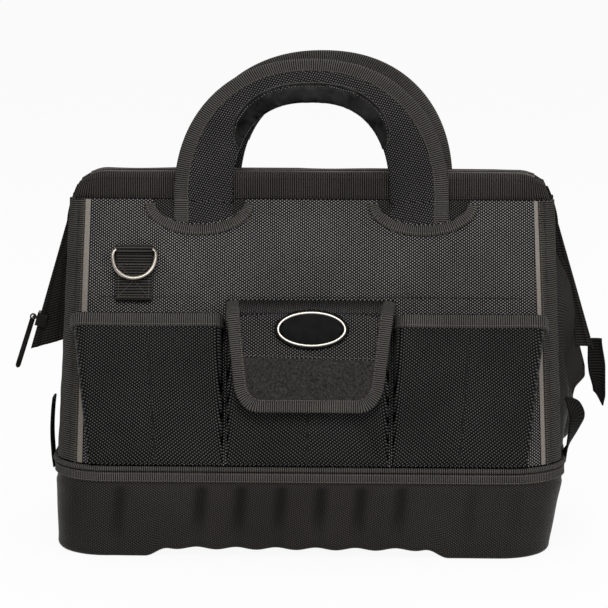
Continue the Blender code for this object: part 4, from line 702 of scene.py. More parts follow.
def build_tub():
    """Rows of the tub: underside, rolled edge, fluted wall, rim and inside. The foot is moulded a little to
    the left, which gives the ends their unequal slopes. A point attribute says how deep each point lies in
    a flute, and the cloth is painted darker there, as painted shade."""
    plan, out = tub_plan()
    x = plan[:, 0]
    groove = flutes(x, out)
    rows, painted_shade_rows = [], []
    inset = TAPER + LOWER_EDGE
    foot = plan - out * inset
    for share in (0.04, 0.3, 0.6, 0.85, 0.97):
        spot = foot * share
        rows.append(np.column_stack([spot + [FOOT_SHIFT, 0], underside(spot[:, 0])]))
        painted_shade_rows.append(0 * x)
    for turn in np.radians(np.linspace(0, 90, 7)):
        pull = TAPER - PROUD + LOWER_EDGE * (1 - math.sin(turn)) + groove * 0.35 * math.sin(turn)
        lift = underside(x) + LOWER_EDGE * (1 - math.cos(turn))
        rows.append(np.column_stack([plan - out * pull[:, None] + [FOOT_SHIFT, 0], lift]))
        painted_shade_rows.append(groove / FLUTE_DEPTH * 0.25 * math.sin(turn))
    top = TUB_TOP - STRAIGHT
    for share in np.linspace(0.08, 1, 22):
        z = LOWER_EDGE + (top - LOWER_EDGE) * share
        strength = 0.35 + 0.65 * smooth(share, 0.0, 0.35)
        strength = strength * (1 - smooth(share, 0.9, 1.0))
        waves = np.abs(ripple(x / (2 * TUB_HALF_WIDTH), share, TUB_WAVES)) * (1 - smooth(share, 0.6, 1.0))
        pull = TAPER * (1 - share) + groove * strength + waves - PROUD * (1 - smooth(share, 0.9, 1.0))
        lift = z + (1 - share) * underside(x)
        rows.append(np.column_stack([plan - out * pull[:, None] + [FOOT_SHIFT * (1 - share), 0], lift]))
        painted_shade_rows.append(groove / FLUTE_DEPTH * strength * (0.35 + 0.65 * smooth(share, 0.1, 0.6)))
    for z in np.linspace(top, TUB_TOP, 4)[1:]:
        rows.append(np.column_stack([plan, np.full(len(plan), z)]))
    inner_floor = ARCH_RISE + SCALLOP + 4 * MM
    for z, drawn_in in ((TUB_TOP, 0), (top, 0), (0.4 * top, 0.6), (inner_floor, 1)):
        rows.append(np.column_stack([plan - out * (WALL + TAPER * drawn_in), np.full(len(plan), z)]))
    rows.append(np.column_stack([(plan - out * (WALL + TAPER)) * 0.04, np.full(len(plan), inner_floor)]))
    painted_shade_rows += [0 * x] * (len(rows) - len(painted_shade_rows))
    piece = surface("moulded_tub", np.array(rows), TUB_CLOTH, around=True)
    store_painted_shade(piece, np.array(painted_shade_rows))
    return piece


tub = build_tub()
mount(tub, "base", "base_tub")
print("tub quads", len(tub.data.polygons))

# %% [markdown]
# The tub's raw edge is bound with tape in two steps: a ribbed band, and above it a rolled edge where the
# tape is folded over. Both are one profile carried round the plan.

# %% Tub binding
BINDING_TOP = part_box("base_binding")[1].z
BINDING_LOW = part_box("base_binding")[0].z


def build_base_binding():
    """The two-step profile (out, up), carried round the tub's plan as one closed ring, with two seams."""
    plan, out = tub_plan(10, 12, 80)
    bead = arc((1.5 * MM, BINDING_TOP - 2.0 * MM), 2.0 * MM, -100, 150, 14)
    band = [(SEAM_GAP, BINDING_LOW), (1.3 * MM, BINDING_LOW - 0.2 * MM), (1.9 * MM, BINDING_LOW + 0.6 * MM),
            (2.1 * MM, BINDING_LOW + 3.0 * MM), (2.0 * MM, BINDING_TOP - 5.2 * MM),
            (1.5 * MM, BINDING_TOP - 4.7 * MM), (0.5 * MM, BINDING_TOP - 4.4 * MM)]
    inside = [(-4.6 * MM, BINDING_TOP - 0.2 * MM), (-4.6 * MM, TUB_TOP + SEAM_GAP),
              (SEAM_GAP, TUB_TOP + SEAM_GAP)]
    profile = np.concatenate([band, bead, inside])
    sections = np.empty((len(plan), len(profile), 3))
    sections[..., :2] = plan[:, None] + out[:, None] * profile[None, :, :1]
    sections[..., 2] = profile[None, :, 1]
    tape = surface("base_binding_tape", sections, TAPE, around=True, ring=True)
    mount(tape, "base", "base_binding")
    seams = []
    for off, drop in ((1.9 * MM, 5.9 * MM), (2.0 * MM, 11.6 * MM)):
        seam = np.column_stack([plan + out * off, np.full(len(plan), BINDING_TOP - drop)])
        seams.append(np.concatenate([seam, seam[:1]]))
    outs = np.column_stack([out, np.zeros(len(out))])
    outs = np.concatenate([outs, outs[:1]])
    mount(stitches("base_binding_stitches", seams, [outs, outs], THREAD_LOOK), "base")


build_base_binding()
print("base binding from", round(BINDING_LOW / MM, 1), "to", round(BINDING_TOP / MM, 1), "mm")

# %% [markdown]
# Each side of the bag is two layers. The inner one is the lining with its foam, and the outer one is
# ballistic nylon with two smiling cut-outs, where the handle's legs go through. The cut edge isn't made
# with a Boolean: every column of the grid simply ends lower where a cut-out is, by half an ellipse, so the
# threads stay straight and the edge is clean.

# %% Panel layers
CUTOUT_X = 89.5 * MM
CUTOUT_HALF = 37 * MM
CUTOUT_DEPTH = 20 * MM
LAYER = 2.0 * MM
TOTAL_TOP = TOP_HALF_WIDTH - TOP_CORNER + TOP_CORNER * math.pi / 2
# The seam across the panel: its height up the panel, its half length, and the groove that it pulls.
SEAM_U = 135.5 * MM
SEAM_HALF = 166 * MM
SEAM_SINK = 0.5 * MM
SEAM_WIDTH = 0.9 * MM
# Soft folds in the outer layer: start and end (across, up), half width and height.
PANEL_FOLDS = (
    ((-118 * MM, 196 * MM), (-108 * MM, 132 * MM), 9 * MM, 0.9 * MM),
    ((-62 * MM, 184 * MM), (-30 * MM, 140 * MM), 10 * MM, -0.8 * MM),
    ((-88 * MM, 184 * MM), (-78 * MM, 130 * MM), 12 * MM, 0.5 * MM),
    ((58 * MM, 186 * MM), (84 * MM, 138 * MM), 10 * MM, 0.8 * MM),
    ((120 * MM, 194 * MM), (112 * MM, 140 * MM), 9 * MM, -0.8 * MM),
    ((8 * MM, 205 * MM), (-8 * MM, 150 * MM), 16 * MM, 0.6 * MM),
)


def panel_out(rear=False):
    """Outward direction of the flat of a panel."""
    return unit(np.array([0, math.cos(LEAN) if rear else -math.cos(LEAN), math.sin(LEAN)]))


def crease(x, u, start, end, width, height):
    """A soft fold along a line: height * exp(-(distance to the line / width)^2)."""
    line = np.subtract(end, start)
    along = np.clip(((x - start[0]) * line[0] + (u - start[1]) * line[1]) / (line @ line), 0, 1)
    distance = np.hypot(x - start[0] - along * line[0], u - start[1] - along * line[1])
    return height * np.exp(-((distance / width) ** 2))


def cutout_drop(x):
    """How far the outer layer's top edge drops at x: depth * sqrt(1 - s^2), s from the cut-out's middle."""
    s = (np.abs(x) - CUTOUT_X) / CUTOUT_HALF
    return CUTOUT_DEPTH * np.sqrt(np.clip(1 - s * s, 0, 1))


def panel_columns():
    """Shares across the body, close together where the cut-outs are steep."""
    swing = np.cos(np.linspace(0, math.pi, 25)) * CUTOUT_HALF
    marks = np.concatenate([CUTOUT_X + swing, -CUTOUT_X + swing]) / TOTAL_TOP
    return np.unique(np.round(np.concatenate([np.linspace(-1, 1, 121), marks]), 5))


def build_panel(side):
    """Outer layer and lined inner layer of one side, and the seam that runs across above the pockets."""
    rear = side == "rear"
    body = f"{side}_panel"
    share = panel_columns()
    rise = np.linspace(0, 1, 90)[:, None]
    edge = PANEL_EDGE_Z - cutout_drop(share * TOTAL_TOP) * math.cos(LEAN)
    z = FOOT_Z + (edge[None] - FOOT_Z) * rise
    corner = at_height(z, FOOT_CORNER, TOP_CORNER)
    run = at_height(z, FOOT_HALF_WIDTH, TOP_HALF_WIDTH) + corner * (math.pi / 2 - 1)
    across = share[None] * run
    up = (z - FOOT_Z) / math.cos(LEAN)
    calm = smooth(rise, 0.0, 0.15) * (1 - smooth(rise, 0.8, 1.0)) * (1 - np.abs(share) ** 6)
    puff = -0.9 * MM + ripple(share, rise, ((0.5 * MM, 1.1, 0.7, 1.0), (0.3 * MM, 2.3, 1.6, 0.2)))
    relief = puff * calm
    for fold in PANEL_FOLDS:
        relief = relief + crease(across, up, *fold)
    relief = relief - SEAM_SINK * np.exp(-(((up - SEAM_U) / SEAM_WIDTH) ** 2))
    grid = round_body(z, share[None], relief, rear)
    outward = np.array([0, 1 if rear else -1, 0.4])
    outer = sheet(f"{side}_outer_panel", grid, LAYER * 0.8, BALLISTIC, -outward, np.stack([across, up], -1))
    mount(outer, body, f"{side}_outer_layer")
    z = np.linspace(FOOT_Z, PANEL_EDGE_Z, 30)[:, None]
    grid = round_body(z, np.linspace(-1, 1, 97)[None], -LAYER - SEAM_GAP, rear)
    lining = sheet(f"{side}_lined_panel", grid, 2.8 * MM, INNER_CLOTH_SHADED, inward=-outward)
    mount(lining, body, f"{side}_panel")
    line = on_panel(np.linspace(-SEAM_HALF, SEAM_HALF, 150), SEAM_U + 1.7 * MM, 0.1 * MM, rear)
    mount(stitches(f"{side}_panel_stitches", [line], [panel_out(rear)], THREAD_DARK), body)


for side in ("front", "rear"):
    build_panel(side)
print("panel layers", LAYER / MM, "mm thick, cut-outs", 2 * CUTOUT_HALF / MM, "mm wide")

# %% [markdown]
# The raw edges are bound with folded tape: along the smiles, and down both corners beside a thin grey
# reflective strip. A folded tape is a soft-edged profile carried along the edge, with its middle
# slightly higher than its sides.

# %% Cut-out bindings, side tapes and reflective strips
BAND = 7 * MM
SIDE_TAPE_WIDTH = 12.6 * MM
SIDE_TAPE_FOOT = {"left": 18.0 * MM, "right": 13.2 * MM}
STRIP_WIDTHS = {"left": 4.0 * MM, "right": 3.0 * MM}


def build_cutout_bindings(side):
    """Tape along each smile, from the rim down round the ellipse and up again, with a row of stitches."""
    rear = side == "rear"
    body = f"{side}_panel"
    turn = np.linspace(0.02, math.pi - 0.02, 49)
    middle = BAND / 2 - 0.8 * MM
    profile = rounded(BAND + 1.6 * MM, 3.0 * MM, 3.2, 24)

    def smile(sign, grown, off):
        x = sign * CUTOUT_X - (CUTOUT_HALF + grown) * np.cos(turn)
        return on_panel(x, PANEL_EDGE_U - (CUTOUT_DEPTH + grown) * np.sin(turn), off, rear)

    for hand, sign in HANDS:
        path = smile(sign, middle, 0.4 * MM)
        tape = carried(f"{side}_cutout_tape_{hand}", path, panel_out(rear), profile, TAPE)
        mount(tape, body)
    seams = [smile(sign, middle + 2.2 * MM, 1.7 * MM) for hand, sign in HANDS]
    mount(stitches(f"{side}_cutout_stitches", seams, [panel_out(rear)] * 2, THREAD_LOOK), body)


def edge_share(z, distance):
    """Share round the body at a distance in from its side edge, measured along the surface."""
    corner = at_height(z, FOOT_CORNER, TOP_CORNER)
    total = at_height(z, FOOT_HALF_WIDTH, TOP_HALF_WIDTH) - corner + corner * math.pi / 2
    return 1 - distance / total


def seen_distance(z, across):
    """Distance along the surface for a distance seen from the front: corner * acos(1 - across / corner)."""
    corner = at_height(z, FOOT_CORNER, TOP_CORNER)
    inside = np.minimum(across, corner)
    return corner * np.arccos(np.clip(1 - inside / corner, -1, 1)) + (across - inside)


def build_side_edges(side):
    """Side tapes on both corners, and the reflective strips on the front. The tape's face is a tall hem at
    the corner and a lower flat band beside it, with a zigzag seam between."""
    rear = side == "rear"
    body = f"{side}_panel"
    z = np.linspace(FOOT_Z + SEAM_GAP, PANEL_EDGE_Z, 90)[:, None]
    step = np.linspace(0.0, 1, 26)[None]
    hem = 1.0 * MM * np.clip(1 - ((step - 0.42) / 0.30) ** 6, 0, 1)
    crown = 1.0 * MM + hem + 0.7 * MM * np.clip(1 - ((step - 0.87) / 0.12) ** 6, 0, 1)
    crown = crown + ripple(step, z / (200 * MM), ((0.15 * MM, 0.4, 5.0, 0.3), (0.1 * MM, 0.8, 11.0, 1.0)))
    seams, zigzags, outs, zig_outs = [], [], [], []
    for hand, sign in HANDS:
        wide = at_height(z, SIDE_TAPE_FOOT[hand], SIDE_TAPE_WIDTH)
        grid = round_body(z, sign * edge_share(z, seen_distance(z, wide * step**1.6)), crown, rear)
        outward = grid.mean(axis=(0, 1)) * np.array([1, 1, 0])
        tape = sheet(f"{side}_corner_tape_{hand}", grid, 1.2 * MM, SIDE_TAPE, inward=-outward)
        mount(tape, body, f"{side}_side_tape_{hand}")
        for line, off, found, sides in ((wide[:, 0] - 1.0 * MM, 1.8 * MM, seams, outs),
                                        (wide[:, 0] * 0.66, 1.3 * MM, zigzags, zig_outs)):
            share = sign * edge_share(z[:, 0], seen_distance(z[:, 0], line))
            found.append(round_body(z[:, 0], share, off, rear))
            sides.append(unit(round_body(z[:, 0], share, 1.0, rear) - round_body(z[:, 0], share, 0.0, rear)))
        if not rear:
            across = wide + 0.2 * MM + STRIP_WIDTHS[hand] * np.linspace(0, 1, 4)[None]
            grid = round_body(z, sign * edge_share(z, seen_distance(z, across)), 1.2 * MM, rear)
            strip = sheet(f"grey_strip_{hand}", grid, 0.6 * MM, STRIP, inward=-outward)
            mount(strip, "front_panel", f"reflective_strip_{hand}")
    mount(stitches(f"{side}_corner_stitches", seams, outs, THREAD_LOOK), body)
    row = stitches(f"{side}_corner_zigzag", zigzags, zig_outs, THREAD_DARK, 1.9 * MM, 2.6 * MM, zigzag=0.9)
    mount(row, body)


for side in ("front", "rear"):
    build_cutout_bindings(side)
    build_side_edges(side)
print("corner tapes", round(SIDE_TAPE_WIDTH / MM, 1), "mm wide at the rim")

# %% [markdown]
# A pocket is a strip of cloth sewn flat at its foot and its sides, with a pleat at each edge that lets the
# top stand off. Its plan is a wall with two round corners that grows from the foot to the top, and the
# cloth sags a little between the corners. The bound top edge is a folded tape on the same line.

# %% Pockets
POCKET_HEIGHT = 116.5 * MM
POCKET_TOP = 27 * MM
POCKET_FOOT = 2.5 * MM
POCKET_CORNER = 9 * MM
# Shares along a pocket's cloth where its side wall, first corner, front and second corner end.
POCKET_SHARES = (0.16, 0.30, 0.70, 0.84)


def pocket_plan(width, depth, corner, share):
    """The pocket's plan as (across, out) for shares 0 to 1 along it: side wall, round corner, front,
    corner and side wall, each with its own stretch of the share."""
    wall, first, last, back = POCKET_SHARES
    corner = np.minimum(corner, depth * 0.48)
    half = width / 2
    turn = np.clip((share - wall) / (first - wall), 0, 1) - np.clip((share - last) / (back - last), 0, 1)
    side = np.clip(share / wall, 0, 1) - np.clip((share - back) / (1 - back), 0, 1)
    front = np.clip((share - first) / (last - first), 0, 1)
    angle = math.pi / 2 * turn
    x = np.where(share < 0.5, -1, 1) * (half - corner * (1 - np.cos(angle)))
    x = np.where((share >= first) & (share <= last), -half + corner + (width - 2 * corner) * front, x)
    return x, (depth - corner) * side + corner * np.sin(angle)


def build_pocket(side, hand, centre, foot_shift, top_width, foot_width, waves, folds=(), bound=True):
    """One pocket: its cloth, its bound edge and its stitches. centre and the folds are places across, seen
    by someone who faces this side of the bag."""
    rear = side == "rear"
    body = f"{side}_panel"
    stops = (0, *POCKET_SHARES, 1)
    share = np.concatenate([np.linspace(a, b, n) for a, b, n in zip(stops, stops[1:], (8, 10, 80, 10, 8))])
    share = np.unique(share)[None]
    rise = np.linspace(0, 1, 70)[:, None]
    width = foot_width + (top_width - foot_width) * rise
    depth = POCKET_FOOT + (POCKET_TOP - POCKET_FOOT) * np.sin(rise * math.pi / 2) ** 0.8
    x, t = pocket_plan(width, depth, POCKET_CORNER * (0.55 + 0.65 * rise), share)
    facing = np.clip((share - 0.22) / 0.1, 0, 1) * np.clip((0.78 - share) / 0.1, 0, 1)
    across = (share - 0.5) / 0.5
    loose = facing * smooth(rise, 0.0, 0.12) * (1 - smooth(rise, 0.8, 0.97))
    relief = ripple(across, rise, waves) * (1 - 0.5 * rise)
    place = centre - np.sign(centre) * foot_shift * (1 - rise) + x
    up = SEAM_GAP + POCKET_HEIGHT * rise + 0 * x
    for fold in folds:
        relief = relief + crease(place, up, *fold)
    sag = -2.2 * MM * np.cos(across * math.pi / 2) ** 2 * np.sin(rise * math.pi)
    grid = on_panel(place, up, SEAM_GAP + t + (sag + relief) * loose, rear)
    outward = panel_out(rear)
    uv = np.stack([place + 0.5 * t * np.sign(across), up], -1)
    cloth = sheet(f"{side}_pocket_cloth_{hand}", grid, 1.6 * MM, POCKET_CLOTH, -outward, uv)
    mount(cloth, body, f"{side}_pocket_{hand}")
    if not bound:
        return
    x, t = pocket_plan(top_width, POCKET_TOP, POCKET_CORNER * 1.2, share[0])
    keep = (share[0] > 0.02) & (share[0] < 0.98)
    droop = 1.2 * MM * np.cos(across[0] * math.pi / 2) ** 2
    level = (POCKET_HEIGHT - 4.6 * MM - droop)[keep]
    path = on_panel(centre + x[keep], level, t[keep] - 0.5 * MM, rear)
    rising = unit(on_panel(0.0, 1.0, 0.0, rear) - on_panel(0.0, 0.0, 0.0, rear))
    tape_out = unit(np.cross(np.gradient(path, axis=0), rising))
    if tape_out[len(path) // 2] @ outward < 0:
        tape_out = -tape_out
    tape = carried(f"{side}_pocket_tape_{hand}", path, tape_out, rounded(10.6 * MM, 3.4 * MM, 3.6, 24), TAPE)
    mount(tape, body, f"{side}_pocket_{hand}_binding")
    seam = path + tape_out * 1.75 * MM - rising * 3.6 * MM
    mount(stitches(f"{side}_pocket_stitches_{hand}", [seam], [tape_out], THREAD_LOOK), body)


# Soft unevenness of the cloth, and each front pocket's folds: start, end, half width and height.
SIDE_WAVES = ((1.3 * MM, 0.55, 0.35, 0.6), (0.8 * MM, 1.2, -0.5, 2.1), (0.4 * MM, 2.4, 1.3, 0.9))
OTHER_WAVES = ((1.2 * MM, -0.6, 0.45, 1.6), (0.7 * MM, 1.4, 0.6, 0.4), (0.4 * MM, 2.1, -1.1, 2.9))
LEFT_FOLDS = (((-176 * MM, 96 * MM), (-168 * MM, 20 * MM), 5 * MM, 0.9 * MM),
              ((-92 * MM, 100 * MM), (-104 * MM, 24 * MM), 9 * MM, -0.9 * MM),
              ((-150 * MM, 22 * MM), (-112 * MM, 16 * MM), 8 * MM, -1.6 * MM))
MIDDLE_FOLDS = (((34 * MM, 46 * MM), (54 * MM, 4 * MM), 4.5 * MM, -2.2 * MM),
                ((56 * MM, 52 * MM), (58 * MM, 6 * MM), 4 * MM, 1.2 * MM),
                ((-58 * MM, 60 * MM), (-52 * MM, 6 * MM), 5 * MM, 0.9 * MM),
                ((-40 * MM, 12 * MM), (20 * MM, 14 * MM), 7 * MM, -1.0 * MM))
RIGHT_FOLDS = (((172 * MM, 98 * MM), (164 * MM, 24 * MM), 5 * MM, 0.9 * MM),
               ((98 * MM, 100 * MM), (110 * MM, 20 * MM), 10 * MM, -0.9 * MM),
               ((150 * MM, 60 * MM), (128 * MM, 12 * MM), 9 * MM, -1.2 * MM))
build_pocket("front", "left", -127.5 * MM, 8.7 * MM, 118 * MM, 105.5 * MM, SIDE_WAVES, LEFT_FOLDS)
build_pocket("front", "right", 127.5 * MM, 8.7 * MM, 118 * MM, 105.5 * MM, OTHER_WAVES, RIGHT_FOLDS)
build_pocket("front", "middle", 0.0, 0.0, 128 * MM, 126.5 * MM, SIDE_WAVES, MIDDLE_FOLDS, bound=False)
build_pocket("rear", "left", -96 * MM, 7 * MM, 180 * MM, 164 * MM, OTHER_WAVES)
build_pocket("rear", "right", 96 * MM, 7 * MM, 180 * MM, 164 * MM, SIDE_WAVES)
print("pockets", POCKET_HEIGHT / MM, "mm tall")

# %% [markdown]
# The flap hangs from a seam above the middle pocket, bends over the pocket's edge and lies in front of it.
# Its upper part is nylon, its lower part a soft brushed pad, with a stitched line between. The badge is an
# oval dome in a thin chrome bead, and its face is bare. It is cut as a half outline and mirrored.

# %% Flap and badge
FLAP_HINGE_U = 134.5 * MM
FLAP_LENGTH = 97 * MM
FLAP_HALF = 67 * MM
FLAP_FOOT_HALF = 55.5 * MM
FLAP_CORNER = 20 * MM
FLAP_FACE = 29.6 * MM
BADGE_RAISED = 5.2 * MM
BADGE_ASIDE = 2.8 * MM
FLAP_PAD_AT = 55.4 * MM
FLAP_BEND = 24 * MM
FLAP_SLANT = 1.4 * MM
FLAP_FOLDS = (((-52 * MM, 20 * MM), (-20 * MM, 46 * MM), 9 * MM, -0.7 * MM),
              ((54 * MM, 16 * MM), (36 * MM, 48 * MM), 8 * MM, -0.8 * MM))
BADGE_WIDE = 29 * MM
BADGE_TALL = 16.2 * MM


def flap_line(down):
    """Distance off the panel of the flap's face at a distance down from its seam: a quick curve out over
    the pocket, then nearly straight, closing on the pocket's front toward the lower edge."""
    start = 1.2 * MM
    out = start + (FLAP_FACE - start) * np.sin(np.clip(down / FLAP_BEND, 0, 1) * math.pi / 2) ** 1.3
    below = np.clip((down - FLAP_BEND) / (FLAP_LENGTH - FLAP_BEND), 0, 1)
    return out + 0.8 * MM * np.sin(below * math.pi) - 3.4 * MM * below**1.6


def flap_half(down):
    """Half width of the flap: an even taper, with round lower corners."""
    half = FLAP_HALF + (FLAP_FOOT_HALF - FLAP_HALF) * np.clip(down / FLAP_LENGTH, 0, 1)
    over = np.clip(down - (FLAP_LENGTH - FLAP_CORNER), 0, FLAP_CORNER)
    return half - (FLAP_CORNER - np.sqrt(FLAP_CORNER**2 - over**2)) * 1.1


def on_flap(x, down, off):
    """World points on the flap: x across, down from its seam, off its face."""
    across = np.clip(np.abs(x) / FLAP_HALF, 0, 1.2)
    edge = -2.5 * MM * across**4 * np.clip(down / (30 * MM), 0, 1)
    return on_panel(x + 1.2 * MM, FLAP_HINGE_U - down, flap_line(down) + off + edge)


def build_flap():
    """Flap cloth, brushed pad, bound edge and two seams: one inside the edge, one above the pad. A point
    attribute paints the cloth darker just under the flap's own seam, as painted shade where it faces up."""
    share = np.linspace(-1, 1, 91)[None]
    down = (FLAP_LENGTH - 0.3 * MM) * np.linspace(0, 1, 90)[:, None]
    across = share * flap_half(down)
    dent = sum(crease(across, down, *fold) for fold in FLAP_FOLDS)
    grid = on_flap(across, down, dent)
    uv = np.stack([across, -down + 0 * across], -1)
    cloth = sheet("flap_cloth", grid, 1.8 * MM, FLAP_CLOTH, -panel_out(), uv)
    store_painted_shade(cloth, np.broadcast_to(1 - smooth(down, 2 * MM, 16 * MM), grid.shape[:2]), sides=2)
    mount(cloth, "flap", "flap")
    low = np.linspace(FLAP_PAD_AT, FLAP_LENGTH - 1.2 * MM, 40)[:, None]
    puff = 1.3 * MM * (1 - share**8) * np.clip((low - FLAP_PAD_AT) / (3 * MM), 0, 1)
    puff = puff + ripple(share, low / FLAP_LENGTH, ((0.25 * MM, 1.3, 2.1, 0.4), (0.15 * MM, 2.6, 3.7, 1.4)))
    fade_out = np.clip((FLAP_LENGTH - low) / (FLAP_LENGTH - FLAP_PAD_AT), 0, 1)
    grid = on_flap(share * (flap_half(low) - 1.5 * MM), low + FLAP_SLANT * share * fade_out, 0.2 * MM + puff)
    mount(sheet("flap_pad", grid, 1.0 * MM, FELT, inward=-panel_out()), "flap")
    round_from = FLAP_LENGTH - FLAP_CORNER
    rounding = round_from + (FLAP_CORNER - 4.2 * MM) * np.sin(np.linspace(0.06, math.pi / 2, 14))
    turn = np.concatenate([np.linspace(4 * MM, round_from, 30), rounding])
    right = np.column_stack([flap_half(np.minimum(turn, FLAP_LENGTH - 4.2 * MM)) - 4.4 * MM, turn])
    outline = resampled(np.concatenate([right * [-1, 1], [[0.0, turn[-1]]], right[::-1]]), 2 * MM)
    for _ in range(3):
        outline[1:-1] = (outline[:-2] + outline[1:-1] + outline[2:]) / 3
    path = on_flap(outline[:, 0], outline[:, 1], 0.6 * MM)
    tape = carried("flap_edge_tape", path, panel_out(), rounded(10.4 * MM, 3.8 * MM, 3.4, 22), TAPE)
    mount(tape, "flap", "flap_binding")
    lifted = 3.8 * MM * smooth(outline[:, 1], round_from, FLAP_LENGTH - 4 * MM)
    seam = on_flap(outline[:, 0] * 0.935, outline[:, 1] - lifted, 2.35 * MM)
    x = np.linspace(-0.93, 0.93, 70)
    over = on_flap(x * flap_half(FLAP_PAD_AT), FLAP_PAD_AT + FLAP_SLANT * (x - 1), 0.3 * MM)
    mount(stitches("flap_stitches", [seam, over], [panel_out()] * 2, THREAD_LOOK), "flap")


def build_badge():
    """An oval dome in a black rim: rows shrink from the rim to the middle. A pale bead runs in the step
    between the rim and the dome."""
    low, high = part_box("badge_ring")
    up = 0.5 * (low.z + high.z) - FOOT_Z
    off = 0.5 * (low.y + high.y) + FOOT_Y
    down = FLAP_HINGE_U - (up + off * math.tan(LEAN)) * math.cos(LEAN) - BADGE_RAISED
    face = flap_line(down)
    slope = (flap_line(down - MM) - flap_line(down + MM)) / (2 * MM)
    turn = np.linspace(0, 2 * math.pi, 96, endpoint=False)

    def oval(wide, tall, raised):
        up = np.sin(turn) * max(tall, 0.4 * MM)
        x = BADGE_ASIDE + np.cos(turn) * max(wide, 0.4 * MM)
        return on_panel(x, FLAP_HINGE_U - down + up, face + raised + slope * up)

    rows = []
    profile = [(0.0, 0.2), (0.0, 1.9), (0.5, 2.4), (1.6, 2.4), (2.0, 2.0), (3.8, 2.0)]
    for angle in np.radians((12, 30, 50, 70, 88)):
        profile.append((3.8 + 24 * (1 - math.cos(angle)), 2.0 + 0.5 * math.sin(angle)))
    for inset, raised in profile:
        narrow = 1 if inset < 4 else BADGE_TALL / BADGE_WIDE
        rows.append(oval(BADGE_WIDE - inset * MM, BADGE_TALL - inset * MM * narrow, raised * MM))
    plate = surface("badge_dome", np.array(rows), BADGE, around=True)
    path = oval(BADGE_WIDE - 2.8 * MM, BADGE_TALL - 2.8 * MM, 2.2 * MM)
    bead = carried("badge_bead", path, panel_out(), rounded(1.8 * MM, 1.3 * MM, 2.2, 14), CHROME, ring=True)
    mount(plate, "flap", "badge_plate")
    mount(bead, "flap", "badge_ring")


build_flap()
build_badge()
print("flap", FLAP_LENGTH / MM, "mm long, badge", 2 * BADGE_WIDE / MM, "mm wide")

# %% [markdown]
# The D-ring hangs from a loop of webbing: the strap is sewn to the panel, goes up behind the ring's bar,
# folds over it and comes down in front. The ring itself is one wire, bent to a D and butt-welded.

# %% D-ring and its tab
RING_X = (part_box("front_d_ring")[0].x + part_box("front_d_ring")[1].x) / 2
TAB_WIDTH = 29 * MM
RING_BAR_U = 174 * MM
RING_BAR_T = 4.75 * MM
WIRE = 1.65 * MM
RING_TILT = math.radians(8)


def build_tab(side):
    """A strap carried along its fold, with ribs across, and stitches in a box with a cross."""
    rear = side == "rear"
    back = np.array([0, RING_BAR_U]) + np.array([(1.2, -41), (1.2, -8), (1.7, 2)]) * MM
    front = np.array([0, RING_BAR_U]) + np.array([(3.3, -9), (3.2, -41)]) * MM
    bend = arc((RING_BAR_T, RING_BAR_U), WIRE + 1.6 * MM, 170, -80, 18)
    line = resampled(np.concatenate([back, bend, front]), 1.2 * MM)
    path = on_panel(RING_X, line[:, 1], line[:, 0], rear)
    out = unit(np.cross([1.0, 0, 0], unit(np.gradient(path, axis=0))))
    strap = carried(f"{side}_tab_webbing", path, out, rounded(TAB_WIDTH, 1.8 * MM, 5, 24), WEBBING)
    mount(strap, f"{side}_panel", f"{side}_ring_tab")
    half = TAB_WIDTH / 2 - 2.4 * MM
    top = RING_BAR_U - 12 * MM
    low = RING_BAR_U - 38.5 * MM
    box = [(-half, low), (half, low), (half, top), (-half, top), (-half, low), (half, top)]
    seams = [resampled(np.array(corners), 1 * MM) for corners in (box, [(half, low), (-half, top)])]
    seams = [on_panel(RING_X + seam[:, 0], seam[:, 1], 4.3 * MM, rear) for seam in seams]
    row = stitches(f"{side}_tab_stitches", seams, [panel_out(rear)] * 2, THREAD_LOOK, 2.2 * MM, 1.7 * MM)
    mount(row, f"{side}_panel")


def build_ring(side):
    """The wire's line: a straight bar, and below it a bow, smoothed at its corners by averaging."""
    sign = -1 if side == "rear" else 1
    low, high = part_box(f"{side}_d_ring")
    half = (high.x - low.x) / 2 - WIRE
    turn = np.linspace(0, math.pi, 90)
    bow = np.column_stack([-half * np.cos(turn), -23 * MM * np.sin(turn) ** 0.8])
    bar = np.column_stack([np.linspace(half - 1.5 * MM, -half + 1.5 * MM, 40), np.full(40, 0.0)])
    line = resampled(np.concatenate([bar, bow - [0, 2.0 * MM], bar[:1]]), 0.8 * MM)[:-1]
    for _ in range(14):
        line = (np.roll(line, 1, 0) + 2 * line + np.roll(line, -1, 0)) / 4
    line = resampled(np.concatenate([line, line[:1]]), 0.8 * MM)[:-1]
    pivot = np.array(HINGE[f"{side}_ring_swing"])
    lean = LEAN + RING_TILT
    path = np.column_stack([(high.x + low.x) / 2 + line[:, 0], pivot[1] + sign * line[:, 1] * math.sin(lean),
                            pivot[2] + line[:, 1] * math.cos(lean)])
    wire = rounded(2.15 * WIRE, 2.15 * WIRE, 2, 20)
    ring = carried(f"{side}_nickel_ring", path, np.array([0, -sign, 0.3]), wire, NICKEL, ring=True)
    mount(ring, f"{side}_d_ring", f"{side}_d_ring")


for side in ("front", "rear"):
    build_tab(side)
    build_ring(side)
print("ring wire", round(2.15 * WIRE / MM, 2), "mm thick")

# %% [markdown]
# The rim hides a steel rod in a folded tape. The tape is one profile, an upside-down U with a round top,
# carried from end to end. Its ends are pinched where they are sewn shut, and drop and slant inward as the
# rod turns down. Behind it stands the zip's own tape with half of the coil, and a facing strip lies in the
# hinge between panel and rim.

# %% Rim tapes and zip plackets
RIM_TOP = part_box("front_rim_tape")[1].z
RIM_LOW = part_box("front_rim_tape")[0].z
SLEEVE_Y = 11.2 * MM
SLEEVE_HALF = 6.3 * MM
SLEEVE_WALL = 1.1 * MM
RIM_SLANT = 5.0 * MM
RIM_REACH = {"left": 27 * MM, "right": 26 * MM}
RIM_END_DROP = 8.5 * MM
RIM_DROOP = 0.5 * MM
TOOTH_PITCH = 1.5 * MM


